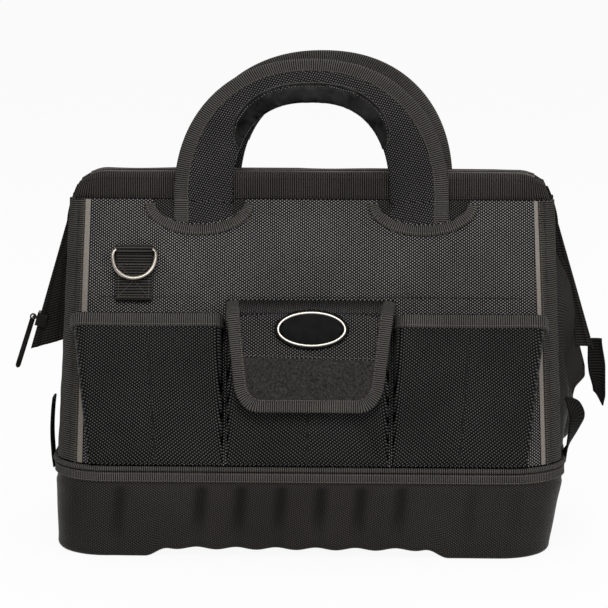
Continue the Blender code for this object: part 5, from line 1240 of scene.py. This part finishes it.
def rim_drop(x):
    """How far the rim's top sinks: a little over its whole right half, and quickly at both ends where the rod
    inside turns down, as drop * (1 - distance from the end / reach)^1.8."""
    left = np.clip(1 - (x + RIM_HALF_WIDTH) / RIM_REACH["left"], 0, 1)
    right = np.clip(1 - (RIM_HALF_WIDTH - x) / RIM_REACH["right"], 0, 1)
    return RIM_END_DROP * (left**1.8 + right**1.8) + RIM_DROOP * smooth(x, 40 * MM, 165 * MM)


def sleeve_profile():
    """The sleeve's section, an upside-down U of folded tape: up one leg, over the round top, down the other
    leg, and back along the inside."""
    round_z = RIM_TOP - SLEEVE_HALF
    leg = np.linspace(RIM_LOW, round_z, 8)[:-1]

    def wall(half, turn):
        top = np.column_stack([half * np.cos(turn), round_z + half * np.sin(turn)])
        up = np.column_stack([np.full(7, top[0, 0]), leg])
        return [up, top, up[::-1] * [-1, 1]]

    turn = np.radians(np.linspace(180, 0, 15))
    return np.concatenate(wall(SLEEVE_HALF, turn) + wall(SLEEVE_HALF - SLEEVE_WALL, turn[::-1]))


def build_sleeve(side, sign):
    """The profile from end to end: pinched where it is sewn shut, drawn in by the slant, sunk by rim_drop
    and a soft sag, and bellied on its outer face. Two rows of stitches hold it."""
    profile = sleeve_profile()
    tip = np.array([0, 0.5, 1.5, 3]) * MM
    x = np.concatenate([-RIM_HALF_WIDTH + tip, np.linspace(-181, 181, 181) * MM, RIM_HALF_WIDTH - tip[::-1]])
    near = np.clip((RIM_HALF_WIDTH - np.abs(x)) / (9 * MM), 0, 1)
    pinch = 0.45 + 0.55 * np.sqrt(1 - (1 - near) ** 2)
    sag = ripple(x / (2 * RIM_HALF_WIDTH), 0 * x, ((0.45 * MM, 2.3, 0, 0.4), (0.25 * MM, 5.1, 0, 1.0)))
    tall = RIM_TOP - RIM_LOW
    height = profile[None, :, 1] - RIM_LOW
    level = 1 - (rim_drop(x) + np.maximum(sag, 0))[:, None] / tall
    end = smooth(np.abs(x), RIM_HALF_WIDTH - 22 * MM, RIM_HALF_WIDTH) * np.sign(x)
    belly = 0.5 * MM * np.sin(np.clip(height / tall, 0, 1) * math.pi) * (profile[None, :, 0] * sign > 0)
    grid = np.empty((len(x), len(profile), 3))
    grid[..., 0] = x[:, None] - RIM_SLANT * end[:, None] * height / tall
    grid[..., 1] = sign * SLEEVE_Y + profile[None, :, 0] * pinch[:, None] + sign * belly
    grid[..., 2] = RIM_LOW + height * level
    sleeve = surface(f"{side}_rim_sleeve", grid, RIM_TAPE_SHADED, around=True)
    mount(sleeve, f"{side}_rim", f"{side}_rim_tape")
    line = np.linspace(-RIM_HALF_WIDTH + 6 * MM, RIM_HALF_WIDTH - 6 * MM, 160)
    face = np.full(160, sign * (SLEEVE_Y + SLEEVE_HALF + 0.2 * MM))
    fall = 1 - rim_drop(line) / tall
    seams = [np.column_stack([line, face, RIM_LOW + up * fall]) for up in (2.2 * MM, tall - 5.0 * MM)]
    mount(stitches(f"{side}_rim_stitches", seams, [(0, sign, 0)] * 2, THREAD_DARK), f"{side}_rim")


def build_zip(side, sign):
    """The zip's tape, its woven edge and half of its coil. The rear teeth stand in the front ones' gaps."""
    low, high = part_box(f"{side}_placket")
    edge_y = (low.y if sign > 0 else high.y) + sign * 0.3 * MM
    x = np.linspace(low.x, high.x, 90)[None]
    top = high.z - 0.5 * MM - 0.8 * rim_drop(x)
    z = low.z + (top - low.z) * np.linspace(0, 1, 12)[:, None]
    grid = np.stack(np.broadcast_arrays(x, edge_y, z), -1)
    tape = sheet(f"{side}_zip_tape", grid, (high.y - low.y) * 0.7, LINING, inward=(0, sign, 0))
    mount(tape, f"{side}_rim", f"{side}_placket")
    span = np.linspace(-RIM_HALF_WIDTH + 13 * MM, RIM_HALF_WIDTH - 13 * MM, 160)
    behind = np.full(160, sign * (SLEEVE_Y - 4.2 * MM))
    edge = np.column_stack([span, behind, RIM_TOP - 0.9 * MM - rim_drop(span)])
    # The cord's pale colour is a painted highlight along the top of the zip tape.
    cord = carried(f"{side}_zip_tape_edge", edge, (0, 0, 1), rounded(1.6 * MM, 1.5 * MM, 2, 10), ZIP_EDGE_HIGHLIGHT)
    mount(cord, f"{side}_rim")
    teeth = np.arange(low.x + 7 * MM, high.x - 7 * MM, TOOTH_PITCH) + (TOOTH_PITCH / 2 if sign > 0 else 0.0)
    level = high.z - 0.6 * MM - 0.8 * rim_drop(teeth)
    spots = np.column_stack([teeth, np.full(len(teeth), sign * 0.9 * MM), level])
    mount(beads(f"{side}_zip_coil", spots, np.array([1.15, 3.0, 2.0]) * MM, COIL), f"{side}_rim")


def build_facing(side, sign):
    """A strip inside the hinge between panel and rim: up the lining's back, over the hinge and up inside the
    sleeve's wall."""
    line = np.array([(19.1, 262), (16.8, 267), (14.6, 271.4), (14.6, 273), (15.6, 275), (15.6, 281)]) * MM
    line = resampled(line, 1 * MM)
    x = np.linspace(-178 * MM, 178 * MM, 60)[None]
    points = np.stack(np.broadcast_arrays(x, sign * line[:, :1], line[:, 1:]), -1)
    strip = sheet(f"{side}_rim_facing", points, 0.6 * MM, LINING, inward=(0, -sign, 0))
    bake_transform(strip)


for side, sign in (("front", -1), ("rear", 1)):
    build_sleeve(side, sign)
    build_zip(side, sign)
    build_facing(side, sign)
print("rims", round(2 * RIM_HALF_WIDTH / MM), "mm long")

# %% [markdown]
# A handle is an arch of padding between two curves, both superellipses: |x/a|^p + |y/b|^p = 1. A body
# between an inner and an outer curve is found by moving from one to the other, while the height follows a
# crown. The ribbed binding, the padded band and the vinyl grip are three such bodies. The legs end at the
# rim's hinge, and below it the sewn ends in the cut-outs take over, as pieces of the panel.

# %% Handles
HANDLE_HALF = 110 * MM
HANDLE_RISE = 114 * MM
GRIP_HALF = 62 * MM
GRIP_RISE = 79 * MM
HANDLE_LEAN = math.radians(3)
LEG_FOOT = -1.6 * MM
LEG_TOP = 3.3 * MM
# How deep the legs are seated in the sewn ends, and the turn of the handle cloth's threads.
LEG_SEAT = 1.5 * MM
THREAD_TURN = math.radians(20)
# The grip starts at this share of its own rise.
GRIP_START = 42 / 79


def arch(half, rise, power, count=121, low=0.0):
    """An arch from left to right: x = -a |cos|^(2/p), y = b |sin|^(2/p), with the angle from low on."""
    turn = np.linspace(low, math.pi - low, count)
    side = np.cos(turn)
    x = -np.sign(side) * np.abs(side) ** (2 / power) * half
    return np.column_stack([x, rise * np.abs(np.sin(turn)) ** (2 / power)])


def on_handle(side, x, up, aside, raised):
    """World points on a handle's leaning middle plane, moved by aside in y and by raised in z."""
    pivot = HINGE[f"{side}_handle_swing"]
    sign = 1 if side == "rear" else -1
    y = pivot[1] + sign * up * math.sin(HANDLE_LEAN) + aside
    return np.stack(np.broadcast_arrays(x, y, pivot[2] + up * math.cos(HANDLE_LEAN) + raised), -1)


def turned_map(across, up, turn):
    """A UV map in metres for cloth whose threads are turned by an angle."""
    cos, sin = math.cos(turn), math.sin(turn)
    return np.stack([across * cos + up * sin, up * cos - across * sin], -1)


def between(name, inner, outer, thickness, power, material, side, count=22, dents=None, tilt=None, seat=0.0):
    """A crowned body between two curves: a point is inner + (outer - inner) * (1 - cos a) / 2, and stands
    off the middle by thickness / 2 * |sin a|^(2 / power), with one thickness or one for each row. With a
    tilt, the cloth is cut flat: its threads keep one direction, turned by that angle. seat lowers both ends
    into the legs below."""
    turn = np.linspace(0, 2 * math.pi, count, endpoint=False)
    share = 0.5 - 0.5 * np.sign(np.cos(turn)) * np.abs(np.cos(turn)) ** (2 / power)
    crown = np.sign(np.sin(turn)) * np.abs(np.sin(turn)) ** (2 / power) / 2
    flat = inner[:, None] + (outer - inner)[:, None] * share[None, :, None]
    lift = crown[None] * np.broadcast_to(thickness, len(inner))[:, None]
    if dents is not None:
        along = np.linspace(0, 1, len(inner))[:, None]
        lift = lift + np.where(crown[None] < 0, 1, -1) * dents(along, share[None])
    x = flat[..., 0]
    up = flat[..., 1] - seat * (1 - smooth(flat[..., 1], 0, 12 * MM))
    sign = 1 if side == "rear" else -1
    points = on_handle(side, x, up, lift * math.cos(HANDLE_LEAN), -sign * lift * math.sin(HANDLE_LEAN))
    uv = None
    if tilt is not None:
        wide = np.concatenate([x, x[:, :1]], axis=1)
        tall = np.concatenate([up, up[:, :1]], axis=1)
        uv = turned_map(wide, tall, tilt)
    return surface(name, points, material, around=True, uv=uv)


def shear_rear(curve, side):
    """The rear handle hangs a little to the right, more at its top, as in the photograph."""
    if side == "front":
        return curve
    curve = curve.copy()
    curve[:, 0] += 3 * MM + 5 * MM * (curve[:, 1] / HANDLE_RISE)
    return curve


def inset_arch(side, sides, top, half=HANDLE_HALF, rise=HANDLE_RISE, power=2.2, count=161, low=0.0):
    """An arch set in from the handle's outer edge by one distance at its sides and another at its top. The
    rear handle was cut a little taller."""
    taller = 2 * MM if side == "rear" else 0.0
    return shear_rear(arch(half - sides, rise - top + taller, power, count, low), side)


def build_handle(side):
    """Band, binding, grip and stitches of one handle."""
    edge = inset_arch(side, 0.0, 0.0)
    band_outer = inset_arch(side, 6 * MM, 6 * MM)
    band_inner = inset_arch(side, -0.6 * MM, -0.6 * MM, GRIP_HALF, GRIP_RISE, 2.5)
    edge_in = inset_arch(side, 12.6 * MM, 9.6 * MM)

    def folds(along, over):
        left = 0.9 * MM * np.exp(-(((along - 0.13 - 0.06 * over) / 0.02) ** 2))
        right = 0.7 * MM * np.exp(-(((along - 0.86 + 0.05 * over) / 0.025) ** 2))
        waves = ripple(along, over, ((0.25 * MM, 6, 0.5, 0.3), (0.12 * MM, 13, -0.8, 1.9)))
        return (left + right) * np.sin(over * math.pi) + waves

    def wrinkles(along, over):
        deep = np.sin(2 * math.pi * (19 * along + 1.3 * over)) * np.sin(2 * math.pi * 3.1 * along + 1.0)
        fine = 0.12 * MM * np.sin(2 * math.pi * 37 * along + 3 * over)
        bead = -0.9 * MM * np.exp(-(((over - 0.93) / 0.05) ** 2))
        piping = bead + 0.7 * MM * np.exp(-(((over - 0.80) / 0.06) ** 2))
        return 0.75 * MM * deep * (1 - over) + fine * (1 - over) + piping

    body = f"{side}_handle"
    band = between(f"{side}_handle_pad", band_inner, band_outer, 6.6 * MM, 3.0, HANDLE_CLOTH, side, 32, folds,
                   THREAD_TURN, LEG_SEAT)
    mount(band, body, f"{side}_handle_band")
    binding = between(f"{side}_handle_tape", edge_in, edge, 7.0 * MM, 4.2, TAPE, side, 26, seat=LEG_SEAT)
    mount(binding, body, f"{side}_handle_binding")
    low = math.asin(GRIP_START ** (2.5 / 2))
    grip_in = inset_arch(side, 0.0, 0.0, GRIP_HALF, GRIP_RISE, 2.5, 181, low)
    wide = inset_arch(side, -13.3 * MM, -17.0 * MM, GRIP_HALF, GRIP_RISE, 2.5, 181, low)
    near = np.clip(np.minimum(np.linspace(0, 1, 181), np.linspace(1, 0, 181)) / 0.16, 0, 1)[:, None]
    taper = 0.12 + 0.88 * np.sqrt(1 - (1 - near) ** 2)
    grip_out = grip_in + (wide - grip_in) * taper
    thickness = 8.6 * MM * (0.8 + 0.2 * taper[:, 0])
    grip = between(f"{side}_vinyl_grip", grip_in, grip_out, thickness, 2.6, VINYL, side, 40, wrinkles)
    mount(grip, body, f"{side}_handle_grip")

    def faces(curve, off):
        return [on_handle(side, curve[:, 0], curve[:, 1], face * off, 0.0) for face in (-1, 1)]

    outs = [(0, -1, 0), (0, 1, 0)]
    rows = faces(inset_arch(side, 11.0 * MM, 8.3 * MM), 3.3 * MM)
    mount(stitches(f"{side}_handle_stitches", rows, outs, THREAD_LOOK), body)
    rows = faces(grip_in + (grip_out - grip_in) * 0.80, 3.1 * MM)
    mount(stitches(f"{side}_grip_stitches", rows, outs, THREAD_LOOK, 2.8 * MM, 1.9 * MM), body)
    # Pale cords along the grip's edge: a painted highlight where the folded edge catches the light.
    rows = faces(grip_in + (grip_out - grip_in) * 0.97, 3.3 * MM)
    fold = rounded(0.9 * MM, 0.9 * MM, 2, 8)
    for face, path in zip(("fore", "aft"), rows):
        mount(carried(f"{side}_grip_edge_{face}", path, (0, 1, 0), fold, VINYL_EDGE_HIGHLIGHT), body)


def build_leg_end(side, hand, sign):
    """The sewn end of a handle leg inside a cut-out. Its face rises off the panel as t = t0 + rise * r^2,
    so that it is upright at the rim, where the swinging handle takes over, and lies flat at its foot."""
    rear = side == "rear"
    body = f"{side}_panel"
    aside = -3 * MM if rear else 0.0
    share = np.linspace(0, 1, 36)[None]
    rise = np.linspace(0, 1, 30)[:, None]
    x = sign * (GRIP_HALF + 0.8 * MM + (HANDLE_HALF - GRIP_HALF - 0.8 * MM) * share) + aside
    s = np.clip((np.abs(x) - CUTOUT_X) / CUTOUT_HALF, -1, 1)
    low = PANEL_EDGE_U - (CUTOUT_DEPTH + 1.0 * MM) * np.sqrt(1 - s * s)
    u = low + (PANEL_LENGTH - low) * rise
    crown = 1 - np.abs(2 * share - 1) ** 6
    t = (LEG_FOOT + (LEG_TOP - LEG_FOOT) * rise**2) * crown - 2.4 * MM * (1 - crown)
    uv = turned_map(x, (u - PANEL_LENGTH) * np.ones_like(x), THREAD_TURN)
    grid = on_panel(x, u, t, rear)
    pad = sheet(f"{side}_leg_end_{hand}", grid, 2.0 * MM, HANDLE_CLOTH, -panel_out(rear), uv)
    mount(pad, body, f"{side}_handle_end_{hand}")
    middle = sign * (HANDLE_HALF - 6.3 * MM) + aside
    start = low[0, int(np.argmin(np.abs(x[0] - middle)))] - 1.0 * MM
    climb = np.linspace(0.0, 1.0, 24)
    line_u = start + (PANEL_LENGTH - start - 0.5 * MM) * climb
    level = LEG_FOOT + (LEG_TOP - LEG_FOOT) * climb**2 - 1.5 * MM
    line = on_panel(middle, line_u, level, rear)
    profile = rounded(12.6 * MM, 4.0 * MM, 4.2, 24)
    tape = carried(f"{side}_leg_tape_{hand}", line, panel_out(rear), profile, TAPE)
    mount(tape, body)
    seam = on_panel(middle - sign * 4.9 * MM, line_u[4:], level[4:] + 1.9 * MM, rear)
    mount(stitches(f"{side}_leg_stitches_{hand}", [seam], [panel_out(rear)], THREAD_LOOK), body)


for side in ("front", "rear"):
    build_handle(side)
    for hand, sign in HANDS:
        build_leg_end(side, hand, sign)
print("handles rise", HANDLE_RISE / MM, "mm over the hinge")

# %% [markdown]
# The gussets close the two ends. When the mouth is shut, their cloth has too much length: on the left it
# folds in, on the right it bulges out. Each gusset is made as two halves that meet on the middle plane.

# %% End gussets
FOLD_IN = 22 * MM
FOLD_OUT = 24 * MM
# Heights in mm and the share of the fold at each. The right gusset sags over a waist at 110 mm.
FOLDED_IN = ((75, 0), (95, 0.3), (120, 0.8), (150, 1.0), (180, 0.95), (210, 0.55), (235, 0.15), (255, 0))
HANGING_OUT = ((75, 0), (76, 0.34), (80, 0.46), (84, 0.56), (90, 0.66), (100, 0.66), (110, 0.58),
               (117, 0.66), (126, 1.0), (135, 1.0), (143, 0.93), (155, 0.82), (180, 0.62), (210, 0.37),
               (238, 0.12), (258, 0))
NOTCH_Z = RIM_Z - 132 * MM
TAIL_FOOT_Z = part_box("zip_tail_right")[0].z


def gusset_y(z):
    """Half depth of the gusset at a height, where it meets the panels' side edges."""
    return at_height(z, FOOT_Y, RIM_Y) - at_height(z, FOOT_CORNER, TOP_CORNER) - 0.5 * MM


def build_gusset(hand, sign, fold, shares, side):
    """Half a gusset: s from the middle (0) to the panel (1), t from the foot to the top edge. It bulges by
    fold * (share at this height) * (1 - s)^1.4, with two soft pleats across that, and beside the tail the
    bulge starts at its flank, so that the tail stays free."""
    s = np.linspace(0, 1, 44)[None]
    t = np.linspace(0, 1, 90)[:, None]
    rear = 1 if side == "rear" else -1

    def half_width(z):
        return at_height(z, FOOT_HALF_WIDTH, TOP_HALF_WIDTH)

    top_z = NOTCH_Z + (PANEL_EDGE_Z - NOTCH_Z) * s
    top_x = half_width(NOTCH_Z) + (half_width(PANEL_EDGE_Z) - half_width(NOTCH_Z)) * s
    foot = np.stack(np.broadcast_arrays(half_width(FOOT_Z), rear * s * gusset_y(FOOT_Z), FOOT_Z), -1)
    top = np.stack(np.broadcast_arrays(top_x, rear * s * gusset_y(PANEL_EDGE_Z), top_z), -1)
    points = foot + (top - foot) * t[..., None]
    heights, sizes = np.array(shares, float).T
    level = points[:, :1, 2]
    down = np.interp(level, heights * MM, sizes)
    for _ in range(4):
        down[1:-1] = (down[:-2] + 2 * down[1:-1] + down[2:]) / 4
    beside = smooth(level, TAIL_FOOT_Z - 10 * MM, TAIL_FOOT_Z) if fold > 0 else 0 * level
    flank = 1 - beside * (1 - smooth(s, 0.02, 0.22))
    pleats = 0.16 * np.cos(2 * math.pi * (1.7 * s + 0.25 * t))
    pleats = pleats * smooth(s, 0.1, 0.3) * (1 - smooth(s, 0.7, 0.95))
    waves = ((0.9 * MM, 1.3, 1.9, 0.5), (0.6 * MM, 2.9, -1.2, 1.5))
    relief = ripple(s, t, waves) * s * (1 - s) * 4 * smooth(t, 0, 0.1) * (1 - smooth(t, 0.9, 1))
    points[..., 0] += fold * down * ((1 - s) ** 1.4 * flank + pleats) + relief
    points[..., 0] *= sign
    piece = sheet(f"gusset_{hand}_{side}", points, 1.8 * MM, GUSSET_CLOTH, inward=(-sign, 0, 0))
    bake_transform(piece)
    if side == "front":
        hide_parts(f"end_gusset_{hand}")


for side in ("front", "rear"):
    build_gusset("left", -1, -FOLD_IN, FOLDED_IN, side)
    build_gusset("right", 1, FOLD_OUT, HANGING_OUT, side)
print("gussets fold in", FOLD_IN / MM, "mm and out", FOLD_OUT / MM, "mm")

# %% [markdown]
# Past both ends of the mouth the zip goes on: two layers of fabric with the coil on their outer edge hang
# down as a tail. The slider rests low on the left tail, and on the right the tape's loose end hangs free.

# %% Zip tails
TAIL_START = 9.5 * MM
TAIL_SHOULDER = 20 * MM
TAIL_LENGTH = 120.5 * MM
TAIL_SPREAD = 29.5 * MM
TAIL_SLANT = 9 * MM
SHOULDER_X = TOP_HALF_WIDTH + 4.5 * MM
# Steps of the layers across a tail: height, and the shares between which it rises.
TAIL_STEPS = ((0.7 * MM, 0.30, 0.36), (-0.5 * MM, 0.62, 0.67), (0.9 * MM, 0.80, 0.86))


def build_tail(hand, sign, side):
    """A layer between its inner edge and the coil's edge, as rows down the tail. Ribbed zip tape, a hem
    and a second tape run down it as soft steps, and its foot is cut on a slant."""
    rear = 1 if side == "rear" else -1
    share = np.linspace(0, 1, 40)[None]
    foot = TAIL_LENGTH + (TAIL_SLANT if hand == "left" else 0.0) * (share - 0.45)
    drop = -TAIL_START + (foot + TAIL_START) * np.linspace(0, 1, 80)[:, None]
    shoulder = np.clip((TAIL_SHOULDER - drop) / (40 * MM), 0, 1)
    spread = np.clip((drop - TAIL_SHOULDER) / (TAIL_LENGTH - TAIL_SHOULDER), 0, 1.1)
    outer = SHOULDER_X - 14 * MM * shoulder**1.6 + TAIL_SPREAD * spread
    inner = 181 * MM + 9 * MM * smooth(drop, -12 * MM, 4 * MM) + 8 * MM * smooth(drop, 46 * MM, 54 * MM)
    x = inner + (outer - inner) * share
    steps = sum(height * smooth(share, low, high) for height, low, high in TAIL_STEPS)
    thin = np.clip((outer - inner) / (20 * MM), 0.2, 1)
    y = rear * (0.8 * MM + (0.6 * MM * np.sin(share * math.pi) + steps) * thin)
    points = np.stack(np.broadcast_arrays(sign * x, y, RIM_Z - drop), -1)
    piece = sheet(f"zip_tail_{hand}_{side}", points, 1.0 * MM, TAIL_TAPE, inward=(0, rear, 0))
    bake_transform(piece)
    if side == "front":
        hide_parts(f"zip_tail_{hand}")


def build_tail_edge(hand, sign):
    """Coil along a tail's outer edge, as beads on the straight part."""
    share = np.linspace(0, 1.02, 66)
    x = SHOULDER_X + TAIL_SPREAD * share
    z = RIM_Z - TAIL_SHOULDER - (TAIL_LENGTH - TAIL_SHOULDER) * share
    spots = np.column_stack([sign * (x - 0.9 * MM), 0 * x, z])
    mount(beads(f"tail_coil_{hand}", spots, np.array([2.6, 3.4, 1.2]) * MM, COIL), "base")


for hand, sign in HANDS:
    build_tail_edge(hand, sign)
    for side in ("front", "rear"):
        build_tail(hand, sign, side)
print("zip tails", round(TAIL_LENGTH / MM, 1), "mm long")

# %% [markdown]
# Last come the small things: webbing loops at the ends, the loose end of the zip tape, and the pull. The
# straps are carried profiles that stand out from a seam, and the loose end is a sheet cut on a slant.

# %% Strap loops, end tab and pull
TAB_LONGER = 7 * MM
TAB_SLANT = 12 * MM
# Hand, sign, how far the loop stands out, its turn in degrees, how far its lower end lies above the tub's
# binding, and the shares of its reach from the lower end to the upper one.
LOOPS = (("left", -1, 2.0 * MM, 0, 0.0, (0.0, 0.55, 0.8, 1.0, 1.0, 0.8, 0.5, 0.0)),
         ("right", 1, 8.8 * MM, 36, 9 * MM, (-0.25, 0.05, 0.32, 0.58, 0.82, 1.06, 0.8, 0.0)))


def build_loops():
    """Webbing loops sewn into the foot seam, each a strap along a line that is nearly flat on the left and
    stands out to a point on the right, where it also turns its face forward."""
    rise = np.linspace(0, 1, 40)
    for hand, sign, reach, turn, seam, shares in LOOPS:
        low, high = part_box(f"strap_loop_{hand}")
        near = low.x + 1.1 * MM if sign > 0 else high.x - 1.1 * MM
        away = np.interp(rise, np.linspace(0, 1, len(shares)), shares)
        for _ in range(3):
            away[1:-1] = (away[:-2] + 2 * away[1:-1] + away[2:]) / 4
        z = low.z + seam + (high.z - low.z - seam) * rise
        path = np.column_stack([near + sign * reach * away, np.full(40, (low.y + high.y) / 2), z])
        angle = math.radians(turn) * away
        out = np.column_stack([sign * np.cos(angle), -np.sin(angle), np.zeros(40)])
        strap = carried(f"end_loop_{hand}", path, out, rounded(20 * MM, 2.0 * MM, 5, 22), LOOP_WEBBING)
        mount(strap, "base", f"strap_loop_{hand}")


def build_end_tab():
    """Loose end of the zip tape: it starts at the tail's foot, hangs outward and ends in a slant."""
    low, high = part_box("zip_end_tab")
    rise = np.linspace(0, 1, 46)[:, None]
    share = np.linspace(0, 1, 14)[None]
    left = low.x - 3.0 * MM + 5.0 * MM * smooth(rise, 0.3, 1.0)
    right = high.x - 3.4 * MM * (1 - smooth(rise, 0.0, 0.45)) - 1.5 * MM * smooth(rise, 0.85, 1.0)
    z = high.z + (low.z - TAB_LONGER - high.z) * rise + TAB_SLANT * (1 - share) * np.clip(2 * rise - 1, 0, 1)
    y = 0.9 * MM * np.sin(rise * 5.5) - 0.8 * MM - 1.4 * MM * (np.abs(2 * share - 1) ** 3)
    points = np.stack(np.broadcast_arrays(left + (right - left) * share, y, z), -1)
    tab = sheet("zip_tape_end", points, 1.8 * MM, LOOP_WEBBING, inward=(0, 1, 0))
    mount(tab, "base", "zip_end_tab")


def build_pull():
    """A flat rod with softened edges from the bail to its round tip, and an eye round the bail."""
    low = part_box("zip_pull")[0]
    pivot = np.array(HINGE["zip_pull_swing"])
    tip = np.array([low.x + 2 * MM, 0, low.z + 1.5 * MM])
    ahead = unit(tip - pivot)
    path = pivot + ahead * np.linspace(2.2 * MM, np.linalg.norm(tip - pivot), 30)[:, None]
    rise = np.linspace(0, 1, 30)
    scale = np.sqrt(np.clip(1 - np.clip((rise - 0.94) / 0.065, 0, 1) ** 2, 0.02, 1))
    rod = carried("pull_rod", path, (0, -1, 0), rounded(4.2 * MM, 2.4 * MM, 2.8, 18), DARK_METAL, scale=scale)
    mount(rod, "zip_pull", "zip_pull")
    turn = np.linspace(0, 2 * math.pi, 32, endpoint=False)
    circle = pivot + 2.1 * MM * np.stack([np.cos(turn), 0 * turn, np.sin(turn)], -1)
    eye = carried("pull_eye", circle, (0, -1, 0), rounded(1.3 * MM, 2.2 * MM, 3, 12), DARK_METAL, ring=True)
    mount(eye, "zip_pull")


build_loops()
build_end_tab()
build_pull()

# %% [markdown]
# The set is a pale floor, a white surround and three soft lamps. The surround is white only to the camera
# and in reflections, so it doesn't flood the bag. The camera stands 10 degrees above the bag and 2 degrees
# to its right, far off with a long lens, which is how a product photographer avoids distortion.

# %% Floor, light and camera
FRAME_WIDTH = 483.4 * MM
CAMERA_DISTANCE = 2.6
AIM = np.array([-4.8 * MM, -50 * MM, 193.0 * MM])
RAISED = math.radians(10)
AROUND = math.radians(2)
FLOOR_HALF = 30.0
# Name, place, width and power of each lamp.
LAMPS = (("key", (-0.08, -1.75, 1.9), 1.1, 22.5), ("fill", (1.5, -1.5, 1.1), 1.4, 11.5),
         ("top", (0.0, 0.6, 2.2), 1.6, 16.0))


def build_stage():
    """Floor that keeps a faint shadow, a white surround for camera and mirror rays, and three area lamps."""
    mesh = bpy.data.meshes.new("floor")
    corners = [(x * FLOOR_HALF, y * FLOOR_HALF, 0) for x, y in ((-1, -1), (1, -1), (1, 1), (-1, 1))]
    mesh.from_pydata(corners, [], [(0, 1, 2, 3)])
    floor = bpy.data.objects.new("floor", mesh)
    bpy.context.scene.collection.objects.link(floor)
    material, tree, principled = begin("pale_paper", Roughness=0.9)
    principled.inputs["Base Color"].default_value = linear("#f0f0f0")
    rays = add(tree, "LightPath")
    seen = add(tree, "Math", {0: rays.outputs["Is Camera Ray"], 1: rays.outputs["Is Glossy Ray"]},
               operation="MAXIMUM")
    share = add(tree, "Math", {0: seen, 1: 0.93}, operation="MULTIPLY")
    glow = add(tree, "Emission", {0: (1, 1, 1, 1), 1: 1.0})
    blend = add(tree, "MixShader", {0: share, 1: principled, 2: glow})
    tree.links.new(blend.outputs[0], tree.nodes["Material Output"].inputs[0])
    mesh.materials.append(material)
    world = bpy.data.worlds.new("studio")
    world.use_nodes = True
    bpy.context.scene.world = world
    tree = world.node_tree
    rays = add(tree, "LightPath")
    seen = add(tree, "Math", {0: rays.outputs["Is Camera Ray"], 1: rays.outputs["Is Transmission Ray"]},
               operation="MAXIMUM")
    glossy = add(tree, "Math", {0: rays.outputs["Is Glossy Ray"], 1: 0.55, 2: 0.0}, operation="MULTIPLY_ADD")
    bright = add(tree, "Math", {0: seen, 1: glossy}, operation="MAXIMUM")
    strength = add(tree, "MapRange", {0: bright, 1: 0.0, 2: 1.0, 3: 0.38, 4: 1.0})
    background = tree.nodes["Background"]
    background.inputs[0].default_value = (1, 1, 1, 1)
    tree.links.new(strength.outputs[0], background.inputs[1])
    for name, place, width, power in LAMPS:
        lamp = bpy.data.lights.new(name, "AREA")
        lamp.size = width
        lamp.energy = power
        thing = bpy.data.objects.new(name, lamp)
        thing.location = place
        aim = np.array([0, 0, 0.2]) - np.array(place)
        thing.rotation_euler = Vector(aim.tolist()).to_track_quat("-Z", "Y").to_euler()
        bpy.context.scene.collection.objects.link(thing)


def build_camera():
    """Camera at the photograph's angle; the lens makes the frame FRAME_WIDTH wide at the aim point."""
    camera = bpy.data.cameras.new("camera")
    camera.sensor_width = 36
    camera.lens = 36 * CAMERA_DISTANCE / FRAME_WIDTH
    camera.clip_end = 60
    thing = bpy.data.objects.new("camera", camera)
    level = math.cos(RAISED)
    away = np.array([math.sin(AROUND) * level, -math.cos(AROUND) * level, math.sin(RAISED)])
    thing.location = (AIM + away * CAMERA_DISTANCE).tolist()
    thing.rotation_euler = Vector((-away).tolist()).to_track_quat("-Z", "Y").to_euler()
    bpy.context.scene.collection.objects.link(thing)
    bpy.context.scene.camera = thing


build_stage()
build_camera()
print("camera", CAMERA_DISTANCE, "m away, frame", round(FRAME_WIDTH / MM, 1), "mm wide")
bpy.context.scene.view_settings.view_transform = "Standard"
